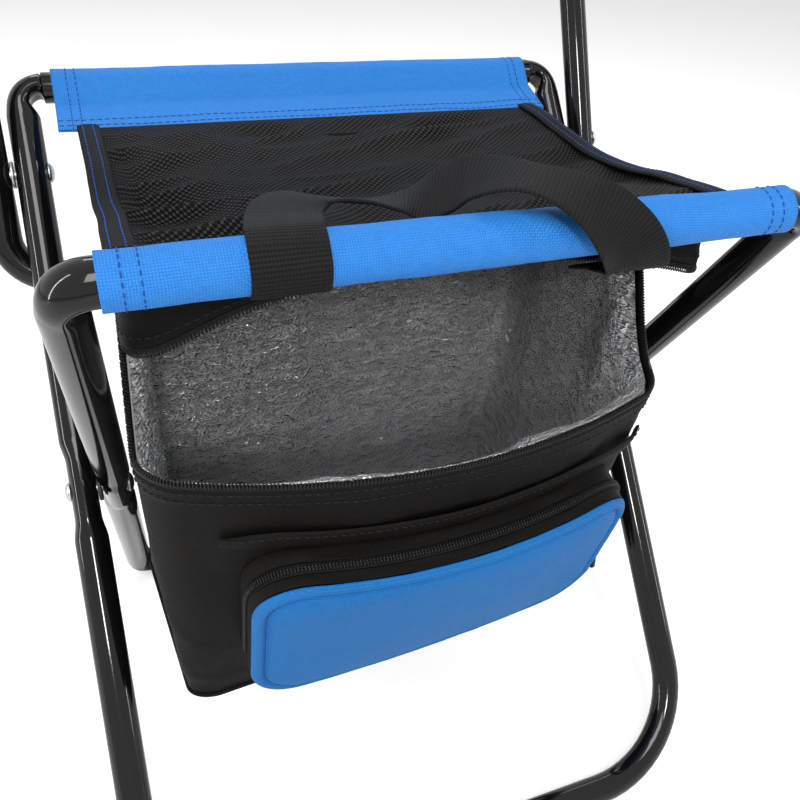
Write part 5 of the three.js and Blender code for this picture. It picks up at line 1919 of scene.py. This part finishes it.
@dataclass
class Bag(Assembly):
    """The insulated bag under the seat: cloth, foam, foil and its main zip."""

    shape: BagShape
    mouth_columns: int = 330
    wall_rows: int = 96
    band_rows: int = 30
    bottom_rows: int = 50
    bottom_columns: int = 80
    foil_rows: int = 120
    foil_columns: int = 400
    inward_slack: float = -0.35
    piping: float = 1.15

    def _slack(self, grid: Array, seed: int, depth: float) -> Array:
        """Soft folds of the cloth, square to it, gone at its edges.

        Args:
            grid: the cloth.
            seed: picks the folds.
            depth: size of the largest.

        Returns:
            The bent grid.
        """
        rows = np.linspace(0, 1, len(grid))[:, None]
        calm = ease(rows, 0, 0.12) * ease(1 - rows, 0, 0.07)
        upright = grid * np.array([1, 1, 0.42])
        slanted = grid + np.roll(grid, 1, axis=-1) * 0.6
        fold = lattice_noise(upright, 44, seed) + 0.5 * lattice_noise(upright, 19, seed + 1)
        fine = lattice_noise(grid, 9, seed + 2) * 0.18 + 0.5 * (crease_noise(slanted, 33, seed + 3) - 0.5)
        bent = np.maximum((fold + fine) * calm * depth, self.inward_slack)
        return grid + grid_normals(grid) * bent[..., None]

    def _shell(self) -> None:
        """Cloth round the left, front and right, the back and the bottom."""
        shape, size, black = self.shape, self.shape.size, self.finishes.black
        walls = shape.strip(shape.left_back, shape.right_back, self.mouth_columns, 0, -size.zip_half - FIT_GAP,
                            self.wall_rows)
        walls = self._slack(walls, 61, 2.0)
        normals = grid_normals(walls)
        below_rim = np.linalg.norm(walls - walls[-1], axis=-1)
        walls += normals * (size.rim_fold * (1 - ease(below_rim, 8.5, 9.5)))[..., None]
        drop(thick_cloth("bag_cloth_walls", walls, -size.shell, 0), Body.OUTER, black,
             "bag_left_panel", "bag_front_panel", "bag_right_panel")
        for number, depth in enumerate((2.4, 7.4)):
            row = int(np.argmin(np.abs(below_rim[:, self.mouth_columns // 2] - depth)))
            self.sewing.row(f"bag_rim_row_{number}", walls[row] + normals[row] * 0.15, normals[row],
                            self.finishes.black_thread, Body.OUTER)
        back = self._slack(shape.back_wall(130, 90, 0, 0), 71, 1.1)
        drop(thick_cloth("bag_cloth_back", back, -size.shell, 0), Body.OUTER, black, "bag_back_panel")
        low, half = shape.foot_level - size.shell - FIT_GAP, size.shell / 2
        bottom = shape.plate(0, low + half, self.bottom_columns, self.bottom_rows)
        bottom[..., 2] += (lattice_noise(bottom, 34, 75) * 0.7 - 1.0) * dome(bottom)
        drop(thick_cloth("bag_cloth_bottom", bottom, -half, half), Body.OUTER, black, "bag_bottom_panel")
        foot = shape.foot(np.linspace(0, 1, 300, endpoint=False))
        foot[:, 2] -= 0.2
        outward = unit(np.cross(np.roll(foot, -1, axis=0) - np.roll(foot, 1, axis=0), [0, 0, 1.0]))
        drop(loop_tube("bag_foot_piping", foot + outward * 0.2, outward, self.piping), Body.OUTER, black)

    def _foam(self) -> None:
        """Foam boards between the cloth and the foil."""
        shape, size, foam = self.shape, self.shape.size, self.finishes.foam
        lift, fall = size.bottom_foam + 3 * FIT_GAP, -size.zip_half - 3 * FIT_GAP - size.foam
        gap = 2 * FIT_GAP / shape.round
        right_front = 1 - shape.left_front
        near, far = -size.foam_near, -size.foam_near - size.foam
        for word, start, end in (("left", shape.left_back, shape.left_front),
                                 ("front", shape.left_front, right_front),
                                 ("right", right_front, shape.right_back)):
            grid = shape.strip(start + gap, end - gap, 70, lift, fall, 20)
            drop(thick_cloth(f"foam_board_{word}", grid, far, near), Body.OUTER, foam, f"foam_{word}_board")
        back = shape.back_wall(60, 20, lift, -fall)
        drop(thick_cloth("foam_board_back", back, far, near), Body.OUTER, foam, "foam_back_board")
        half = size.bottom_foam / 2
        bottom = shape.plate(size.foam_near + FIT_GAP, shape.foot_level + half, 40, 24)
        drop(thick_cloth("foam_board_bottom", bottom, -half, half), Body.OUTER, foam, "foam_bottom_board")

    def _lining(self) -> None:
        """Crushed foil inside the walls and on the bottom."""
        shape, size, foil = self.shape, self.shape.size, self.finishes.foil
        share = np.linspace(0, 1, self.foil_columns, endpoint=False)[None, :]
        length = shape.length(share)
        lift = size.bottom_foam + size.lining + 6 * FIT_GAP
        up = mix(lift / length, 1 - 3.6 / length, np.linspace(0, 1, self.foil_rows)[:, None])
        grid = shape.wall(share, up)
        normals = grid_normals(grid, True)
        below = (1 - up) * length
        depth = size.lining_near + size.lining - 4.4 * (1 - ease(below, 0, 13))
        upright = grid * np.array([1, 1, 0.22])
        folds = 1 - np.abs(lattice_noise(upright, 46, 84)) * 2.0
        creases = crease_noise(grid * np.array([1, 1, 1.3]), 21, 82)
        crinkle = crease_noise(grid * np.array([0.6, 0.6, 2.2]), 7.5, 85) + 0.5 * crease_noise(grid, 4.2, 87)
        calm = ease(below, 0, 20) * ease(length - below, 0, 14)
        inward = depth + calm * (5.0 * folds + 2.3 * creases) + (0.12 + 0.88 * calm) * crinkle
        grid = grid - normals * inward[..., None]
        drop(thick_cloth("foil_walls", grid, 0, size.lining, True), Body.OUTER, foil, "foil_lining_walls")
        half = size.lining / 2
        level = shape.foot_level + size.bottom_foam + FIT_GAP + half
        bottom = shape.plate(size.lining_near + FIT_GAP, level, 150, 90)
        dents = 2.4 * crease_noise(bottom, 22, 91) + 1.0 * crease_noise(bottom, 8, 92)
        bottom[..., 2] += dents * dome(bottom) ** 0.3
        drop(thick_cloth("foil_bottom", bottom, -half, half), Body.OUTER, foil, "foil_lining_bottom")

    def _mouth(self) -> None:
        """The band over the mouth and both halves of the zip."""
        shape, size, finishes = self.shape, self.shape.size, self.finishes
        columns, tape = self.mouth_columns, 1.6
        band = shape.band(size.zip_half + FIT_GAP, None, columns, self.band_rows)
        rows = np.linspace(0, 1, self.band_rows)[:, None]
        swell = lattice_noise(band, 38, 95) * 2.1 + lattice_noise(band, 15, 96) * 0.7
        normals = grid_normals(band)
        band += normals * (swell * np.sin(np.pi * rows) + 0.5 * (1 - ease(rows, 0.16, 0.24)))[..., None]
        drop(thick_cloth("bag_band", band, -size.shell, 0), Body.OUTER, finishes.black, "bag_top_band")
        self.sewing.row("bag_band_row", band[3] + normals[3] * 0.2, normals[3], finishes.black_thread,
                        Body.OUTER)
        upper = shape.band(tape, size.zip_half, columns, 5)
        lower = shape.strip(shape.left_back, shape.right_back, columns, -size.zip_half, -tape, 5)
        for word, grid, row, sign in (("upper", upper, 0, 1), ("lower", lower, -1, -1)):
            normals = grid_normals(grid)
            sheet = thick_cloth(f"zip_tape_{word}", grid, -size.shell - size.zip_proud, size.zip_proud)
            drop(sheet, Body.OUTER, finishes.tape, f"main_zip_{word}")
            line = grid[row] - sign * unit(grid[-1] - grid[0]) * 0.35 - normals[row] * 0.2
            self.sewing.teeth(f"zip_teeth_{word}", line, normals[row])

    def build(self) -> None:
        """Builds and dresses the bag."""
        self._shell()
        self._foam()
        self._lining()
        self._mouth()


@dataclass
class Pocket(Assembly):
    """The zipped pocket: gussets, zip, padded face and the flap above it, sized as in the part's source."""

    shape: BagShape
    width: float = 184
    corner: float = 26
    least_corner: float = 5
    above_foot: float = 34.5
    below_zip: float = 50
    right: float = 9.5
    rear_depth: float = 8.5
    zip_width: float = 5
    front_depth: float = 5
    base: float = 34
    wall: float = 1.2
    side_columns: int = 220
    face_columns: int = 300
    face_pitch: float = 3.0
    groove: float = 5.6
    flap_height: float = 13
    flap_thickness: float = 2.6
    flap_gap: float = 2.6
    flap_end: float = 8

    def __post_init__(self) -> None:
        """Works out the pocket's own frame on the front wall."""
        share = self._front_share(self.right)
        self.wall_length = float(self.shape.length(share))
        self.height = self.wall_length - self.above_foot - self.below_zip
        self.up_share = (self.above_foot + self.height / 2) / self.wall_length
        self.middle = self.shape.wall(share, self.up_share)
        left, right = (self.shape.wall(self._front_share(self.right + side * self.width / 2), self.up_share)
                       for side in (-1, 1))
        self.across = unit(right - left)
        self.out = unit(np.cross(self.across, unit(self.shape.rim(share) - self.shape.foot(share))))
        self.up = np.cross(self.out, self.across)
        self.depth = self.rear_depth + self.zip_width + self.front_depth

    def _front_share(self, x: Array) -> Array:
        """The share of the outline where the front wall has a given x."""
        reach = self.shape.size.half - self.shape.size.corner
        return self.shape.front_start + (np.asarray(x, float) + reach) / self.shape.round

    def over(self, x: Array, y: Array, lift: Array) -> Array:
        """Places over the front wall.

        Args:
            x: millimetres across the pocket from its middle.
            y: millimetres up it.
            lift: distance off the wall.

        Returns:
            The places.
        """
        x, y, lift = np.broadcast_arrays(*(np.asarray(each, float) for each in (x, y, lift)))
        share = self._front_share(self.right + x)
        up = self.up_share + y / self.wall_length
        offset = 0 * x
        for _ in range(6):
            reached = self.shape.wall(share, up) - self.middle
            share = share + (x - reached @ self.across) / self.shape.round
            up = up + (y - reached @ self.up) / self.wall_length
            offset = reached @ self.out
        return (self.middle + x[..., None] * self.across + y[..., None] * self.up
                + (offset + FIT_GAP + lift)[..., None] * self.out)

    def _line(self, inset: float, count: int, is_base: bool | None = None) -> Array:
        """Even places on the pocket's outline, drawn in, anticlockwise from the right end of its base.

        Args:
            inset: how far it is drawn in.
            count: number of places.
            is_base: whether to give only the base's part, only the arch over it or, without it, the whole ring.

        Returns:
            Places as x and y.
        """
        wide, high = self.width / 2 - inset, self.height / 2 - inset
        corner = max(self.corner - inset, self.least_corner)
        start = self.base - self.height / 2
        arcs = []
        for across, along, quarter in ((1, 1, 0), (-1, 1, 1), (-1, -1, 2), (1, -1, 3)):
            angle = (quarter + np.linspace(0, 1, 17)) * math.pi / 2
            arcs.append(np.stack([across * (wide - corner) + corner * np.cos(angle),
                                  along * (high - corner) + corner * np.sin(angle)], axis=1))
        right, left = np.array([(wide, start)]), np.array([(-wide, start)])
        if is_base is None:
            return evenly(np.concatenate([right, *arcs[:2], left, *arcs[2:], right]), count + 1)[0][:-1]
        if is_base:
            return evenly(np.concatenate([left, *arcs[2:], right]), count)[0]
        return evenly(np.concatenate([right, *arcs[:2], left]), count)[0]

    def _side(self, name: str, node: str, low: float, high: float, finish: Finish, swell: float,
              is_base: bool = False) -> tuple[Array, Array]:
        """A band of the pocket's side.

        Args:
            name: the object's name.
            node: the node it replaces.
            low: depth of its rear edge.
            high: depth of its front edge.
            finish: its finish.
            swell: size of its folds.
            is_base: whether it runs round the base or over the arch.

        Returns:
            Its grid and normals.
        """
        line = self._line(0, self.side_columns, is_base)
        share = np.linspace(0, 1, 12)[:, None]
        grid = self.over(line[:, 0] + 0 * share, line[:, 1] + 0 * share, mix(low, high, share))
        normals = grid_normals(grid)
        waves = lattice_noise(grid, 17, 101) * swell * np.sin(np.pi * share)
        along = np.linspace(0, 1, self.side_columns)
        grid = grid + normals * (waves * ease(np.minimum(along, along[::-1]), 0, 0.03))[..., None]
        drop(thick_cloth(name, grid, -self.wall, 0), Body.OUTER, finish, node)
        return grid, normals

    def _face(self) -> None:
        """The padded face with a piped edge, swollen by its own foam."""
        groove, count = self.groove, self.face_columns
        rim = [(0.0, 0.3), (0.15, 1.2), (0.6, 2.2), (1.4, 3.0), (2.5, 3.35), (3.6, 3.2), (4.6, 2.6),
               (groove - 0.3, 1.8), (groove + 0.3, 1.8), (groove + 0.9, 2.5), (groove + 1.8, 3.3),
               (groove + 3.4, 4.1), (groove + 6, 4.7), (groove + 9, 5.05)]
        inner = self._line(rim[-1][0], count)
        flats, rings = [self._line(inset, count) for inset, _ in rim], [np.full(count, rise) for _, rise in rim]
        for scale in np.linspace(1, 0.02, 34)[1:]:
            flats.append(inner * scale)
            rings.append(np.full(count, rim[-1][1] + 1.3 * (1 - scale ** 2)))
        flat, height = np.array(flats), np.array(rings)
        place = np.concatenate([flat, 0 * flat[..., :1]], axis=-1)
        soft = ease(height, 3.3, 5.0)
        height += soft * (lattice_noise(place, 36, 105) * 0.8 + lattice_noise(place, 13, 106) * 0.22)
        height += (1 - soft) * lattice_noise(place, 6, 107) * 0.12
        flat = np.concatenate([[inner * 0.02, self._line(1.0, count)], flat])
        height = np.concatenate([np.zeros((2, count)), height])
        points = self.over(flat[..., 0], flat[..., 1], self.depth + FIT_GAP + height)
        face = ringed("pocket_padded_face", points, flat)
        # The face takes the shaded copy of the blue cloth: painted shade.
        drop(face, Body.OUTER, self.finishes.deep_blue, "pocket_face")
        line = self._line(groove, 260)
        path = self.over(line[:, 0], line[:, 1], self.depth + FIT_GAP + 1.9)
        self.sewing.row("pocket_face_row", path, np.tile(self.out, (len(path), 1)), self.finishes.blue_thread,
                        Body.OUTER, self.face_pitch)

    def _flap(self) -> None:
        """A rolled fold of cloth sewn on above the zip."""
        half = self.width / 2 + self.flap_end
        x = np.linspace(-half, half, 150)
        ends = ease(half - np.abs(x), 0, 14)
        y = self.height / 2 + self.flap_gap + self.flap_height / 2 - 5 * ease(-x, half - 26, half)
        y = y + lattice_noise(np.stack([x, 0 * x, 0 * x], axis=1), 31, 111) * 0.9
        path = self.over(x, y, 2.2 + 0.5 * ends)
        flap = sweep("pocket_rolled_flap", path, -np.tile(self.up, (len(x), 1)),
                     oval(self.flap_height - 2 * FIT_GAP, self.flap_thickness, 2.4),
                     np.stack([0.6 + 0.4 * ends, 0.7 + 0.3 * ends], axis=1))
        drop(flap, Body.OUTER, self.finishes.black, "pocket_storm_flap")
        row = path + self.up * 3.6 + self.out * 1.25
        self.sewing.row("pocket_flap_row", row, np.tile(self.out, (len(x), 1)), self.finishes.black_thread,
                        Body.OUTER)

    def build(self) -> None:
        """Builds and dresses the pocket."""
        black, tape, rear = self.finishes.black, self.finishes.tape, self.rear_depth
        front = rear + self.zip_width
        self._side("pocket_base", "pocket_gusset_base", 2 * FIT_GAP, self.depth, black, 0.7, is_base=True)
        self._side("pocket_rear_gusset", "pocket_gusset_rear", 2 * FIT_GAP, rear - FIT_GAP, black, 0.7)
        grid, normals = self._side("pocket_zip_tape", "pocket_zip", rear, front - FIT_GAP, tape, 0.0)
        self._side("pocket_front_gusset", "pocket_gusset_front", front, self.depth, black, 0.5)
        for word, row, offset in (("rear", 5, -0.35), ("front", 6, 0.35)):
            line = grid[row] + normals[row] * 0.3 + self.out * offset
            self.sewing.teeth(f"pocket_teeth_{word}", line, normals[row], 2.6)
        self._face()
        self._flap()


@dataclass
class BackCover(Assembly):
    """The cloth pulled over the backrest's uprights: one band round both, sewn down beside each tube."""

    height: float = 112
    below_top: float = 12
    rows: int = 84
    columns: int = 380
    layer: float = 0.72
    stretch_up: float = 2.2
    stitch_lift: float = 0.5
    stitch_pitch: float = 4.0
    hem_rows: tuple[int, int] = (5, 8)
    side_rows: tuple[int, int] = (15, 19)

    def _section(self) -> Array:
        """The cloth's closed course seen along the uprights.

        Returns:
            Even places as x and depth.
        """
        around = self.plan.tube_radius + FIT_GAP + self.plan.cloth / 2
        reach = math.asin(self.layer / around)
        turn, half = np.linspace(0, 1, 60) * (2 * math.pi - 2 * reach), self.plan.back_half
        points = np.concatenate([
            np.stack([side * half + around * np.cos(start + turn), around * np.sin(start + turn)], axis=1)
            for side, start in ((1, math.pi + reach), (-1, reach))])
        return evenly(np.concatenate([points, points[:1]]), self.columns + 1)[0][:-1]

    def build(self) -> None:
        """Builds and dresses the cover."""
        plan, section = self.plan, self._section()
        x, depth = section[:, 0], section[:, 1]
        top = plan.rivet_to_top - plan.tube_radius - self.below_top
        share = np.linspace(0, 1, self.rows)[:, None]
        grid = np.zeros((self.rows, len(section), 3))
        grid[..., 0] = x
        grid[..., 1] = mix(top - self.height, top, share)
        grid[..., 2] = -depth
        web = 1 - ease(np.abs(x), plan.back_half - 30, plan.back_half - 10)
        stretch = grid * np.array([0.35, 1, 0.35])
        puff = 1.1 + lattice_noise(stretch, 24, 121) * 0.8 + lattice_noise(grid, 9, 122) * 0.15
        edge = 0.35 + 0.65 * np.sin(np.pi * share)
        grid[..., 2] += web * np.sign(-depth) * np.maximum(puff, 0) * edge
        arch = np.sin(np.pi * np.clip((x / plan.back_half + 1) / 2, 0, 1))
        grid[..., 1] += web * self.stretch_up * arch * (0.5 - share)
        placed = lean_back(grid, plan.back_rivet, plan.back_lean)
        normals = grid_normals(placed, True)
        cover = thick_cloth("backrest_cloth", placed, -plan.cloth / 2, plan.cloth / 2, True)
        drop(cover, Body.BACK, self.finishes.blue, "backrest_cover")
        closed = [*range(len(section)), 0]
        outs = normals * np.sign(normals[0, 0] @ (placed[0, 0] - placed.mean(axis=(0, 1))))
        lifted, thread = placed + outs * self.stitch_lift, self.finishes.blue_thread
        for row in (*self.hem_rows, *(self.rows - 1 - row for row in reversed(self.hem_rows))):
            self.sewing.row(f"backrest_hem_row_{row}", lifted[row, closed], outs[row, closed], thread,
                            Body.BACK, self.stitch_pitch)
        for sign, (word, facing), inset in product((-1, 1), (("front", 1), ("rear", -1)), self.side_rows):
            column = int(np.argmin(np.abs(x - sign * (plan.back_half - inset)) + 100 * (depth * facing < 0)))
            self.sewing.row(f"backrest_{word}_row_{sign + 1}_{inset}", lifted[:, column], outs[:, column],
                            thread, Body.BACK, self.stitch_pitch)


@dataclass
class Handle(Assembly):
    """The carry handle: a strap of webbing sewn to the band on both sides, folded over the rail and arched."""

    width: float = 25
    thickness: float = 1.7
    steps: int = 420
    sewn_steps: int = 46
    stitch_inset: float = 3
    stitch_lift: float = 0.15
    stitch_pitch: float = 3.2
    course: tuple[tuple[float, float, float], ...] = (
        (-70, -111.4, 343), (-70, -122, 347), (-70, -134, 351.2), (-70, -144, 353.9), (-70, -149.5, 357.5),
        (-70, -151.6, 365), (-70, -148, 371.5), (-69.5, -141.2, 374), (-68.5, -134, 373.6), (-66.5, -124, 372),
        (-63, -114, 371.2), (-56.5, -107, 370.5), (-48, -104.8, 369), (-37, -105, 367.2), (-26, -106, 366.2),
        (-16, -109, 367.5), (-9, -115, 372.5), (0, -125, 380), (12, -136, 383.5), (24, -144.5, 381.5),
        (35, -151.5, 376), (44.5, -154, 367), (52, -152.5, 357.5), (57, -147, 349), (60, -136, 343.5),
        (61, -123, 339), (61, -111.4, 334))
    sides: tuple[tuple[float, float, float], ...] = (
        *((-1, 0, 0),) * 8, (-1, 0.05, 0), (-0.95, 0.3, 0),
        (-0.75, 0.65, 0), (-0.35, 0.93, -0.1), (0, 0.95, -0.3), (0, 0.94, -0.34), (0, 0.95, -0.2),
        (0, 0.97, 0), (0, 0.97, 0.1), (0, 0.97, 0.05), (0.2, 0.95, 0.05), (0.5, 0.75, 0.15),
        (0.8, 0.4, 0.2), (0.97, 0.15, 0.05), *((1, 0, 0),) * 5)

    def _through(self, points: Array, count: int) -> Array:
        """A smooth line through points.

        Args:
            points: what it goes through.
            count: number of places on it.

        Returns:
            The places.
        """
        at = np.linspace(0, len(points) - 1, count)
        first = np.minimum(at.astype(int), len(points) - 2)
        part = (at - first)[:, None]
        ends = np.concatenate([2 * points[:1] - points[1:2], points, 2 * points[-1:] - points[-2:-1]])
        before, low, high, after = (ends[first + step] for step in range(4))
        return 0.5 * (2 * low + (high - before) * part + (2 * before - 5 * low + 4 * high - after) * part ** 2
                      + (3 * low - before - 3 * high + after) * part ** 3)

    def build(self) -> None:
        """Builds and dresses the handle."""
        both = np.concatenate([np.array(self.course, float), np.array(self.sides, float)], axis=1)
        fine = self._through(both, 1200)
        lengths = lengths_along(fine[:, :3])
        even = read_at(fine, lengths, np.linspace(0, lengths[-1], self.steps))
        path, across = even[:, :3], unit(even[:, 3:])
        strap = sweep("strap_handle", path, across, oval(self.width, self.thickness, 7.0, 34))
        drop(strap, Body.ACROSS_FOLD, self.finishes.webbing, "carry_handle")
        ahead = unit(np.gradient(path, axis=0))
        across = unit(across - ahead * np.sum(across * ahead, axis=1, keepdims=True))
        face, inset = np.cross(ahead, across), self.width / 2 - self.stitch_inset
        starts = ((0, "left"), (self.steps - self.sewn_steps, "right"))
        for (start, word), offset in product(starts, (-inset, inset)):
            part = slice(start, start + self.sewn_steps)
            row = path[part] + across[part] * offset + face[part] * (self.thickness / 2 + self.stitch_lift)
            self.sewing.row(f"strap_row_{word}_{offset + 10:.0f}", row, face[part], self.finishes.black_thread,
                            Body.ACROSS_FOLD, self.stitch_pitch)


class Sliders(Assembly):
    """The zips' sliders and pulls, which keep the part's own shapes."""

    def build(self) -> None:
        """Gives the sliders and pulls their finish."""
        for prefix, piece in product(("main_zip", "pocket_zip"), ("slider", "pull")):
            thing = bpy.data.objects[f"{prefix}_{piece}"]
            thing.data.materials.clear()
            thing.data.materials.append(self.finishes.cast.material)
            log.info("%s: part's own shape", thing.name)


@dataclass(frozen=True)
class Studio:
    """Camera, lamps, floor and background."""

    lens: float = 40.67
    shift_x: float = -0.126
    shift_y: float = -0.0336
    eye: tuple[float, float, float] = (-119.184, -403.919, 485.328)
    turn: tuple[float, float, float] = (2.095, -0.393, 0.314)
    floor_reach: float = 6.0
    floor_glow: float = 0.08
    floor_glow_seen: float = 0.36
    world_light: float = 0.34

    def camera(self) -> None:
        """Puts the camera at the photograph's place and angle."""
        data = bpy.data.cameras.new("camera")
        data.sensor_width, data.lens = 36, self.lens
        data.shift_x, data.shift_y = self.shift_x, self.shift_y
        data.clip_start, data.clip_end = 0.01, 100
        axis = Vector(self.turn)
        rows = Matrix.Rotation(axis.length, 3, axis.normalized())
        right, down, ahead = (Vector(rows[number]) for number in range(3))
        turn = Matrix((right, -down, -ahead)).transposed()
        camera = link("camera", data)
        camera.matrix_world = Matrix.Translation(Vector(world(np.array(self.eye)))) @ turn.to_4x4()
        bpy.context.scene.camera = camera

    def lamps(self) -> None:
        """Soft boxes over and beside the stool."""
        boxes = [
            ("key", (-0.5, -1.25, 1.95), (0, 0, 0.25), 0.9, 0.9, 25),
            ("front_fill", (-0.2, -1.5, 1.1), (0, 0, 0.27), 0.2, 0.2, 9),
            ("right_strip", (1.5, -0.75, 1.0), (0, 0, 0.3), 0.06, 1.8, 9),
            ("back", (0.2, 1.5, 1.8), (0, 0, 0.3), 1.6, 0.4, 12),
            ("left_strip", (-1.6, -0.1, 0.95), (0, 0, 0.25), 0.06, 1.8, 11),
        ]
        for name, place, aim, width, height, power in boxes:
            data = bpy.data.lights.new(name, "AREA")
            data.shape, data.size, data.size_y, data.energy = "RECTANGLE", width, height, power
            turn = (Vector(aim) - Vector(place)).to_track_quat("-Z", "Y").to_matrix().to_4x4()
            link(name, data).matrix_world = Matrix.Translation(place) @ turn

    def floor(self) -> None:
        """A white floor that keeps the stool's shadow."""
        paint = Paint("white_floor")
        cloud = paint.noise(3.0)
        seen = paint.node("ShaderNodeLightPath", None, None, "Is Camera Ray")
        glow = paint.blend(seen, (self.floor_glow,) * 3, (self.floor_glow_seen,) * 3)
        colour = paint.blend(cloud, (0.9, 0.9, 0.9), (0.93, 0.93, 0.93))
        material = paint.finish(Base_Color=colour, Roughness=0.9, Emission_Color=glow, Emission_Strength=1.0)
        mesh = bpy.data.meshes.new("studio_floor")
        reach = self.floor_reach
        corners = [(-reach, -reach, 0), (reach, -reach, 0), (reach, reach, 0), (-reach, reach, 0)]
        mesh.from_pydata(corners, [], [(0, 1, 2, 3)])
        mesh.materials.append(material)
        link("studio_floor", mesh)

    def background(self) -> None:
        """White for the camera, mirrors and glass, and a softer white as light."""
        scene = bpy.context.scene
        scene.world = bpy.data.worlds.new("studio")
        scene.world.use_nodes = True
        nodes = Nodes(scene.world.node_tree)
        rays = nodes.add("ShaderNodeLightPath").outputs
        seen = Term(nodes, rays["Is Camera Ray"])
        for name in ("Is Glossy Ray", "Is Transmission Ray"):
            seen = seen.highest(Term(nodes, rays[name]))
        level = nodes.node("ShaderNodeMapRange", None,
                           {"Value": seen, "To Min": self.world_light, "To Max": 1.0})
        back = nodes.tree.nodes["Background"].inputs
        nodes.feed(back["Color"], (1, 1, 1))
        nodes.feed(back["Strength"], level)
        scene.view_settings.view_transform = "Standard"

    def build(self) -> None:
        """Sets up the whole studio."""
        self.camera()
        self.lamps()
        self.floor()
        self.background()


def main() -> None:
    """Builds the studio and every sub-assembly, and logs each piece's faces."""
    logging.basicConfig(level=logging.INFO, format="%(message)s")
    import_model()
    RowFrame.settle()
    Studio().build()
    plan = Drawing()
    finishes = Finishes()
    shape = BagShape(plan, BagSize())
    made_with = (plan, finishes, Sewing(finishes))
    Frame(*made_with).build()
    Seat(*made_with).build()
    Bag(*made_with, shape).build()
    Pocket(*made_with, shape).build()
    BackCover(*made_with).build()
    Handle(*made_with).build()
    Sliders(*made_with).build()


if __name__ == "__main__":
    main()
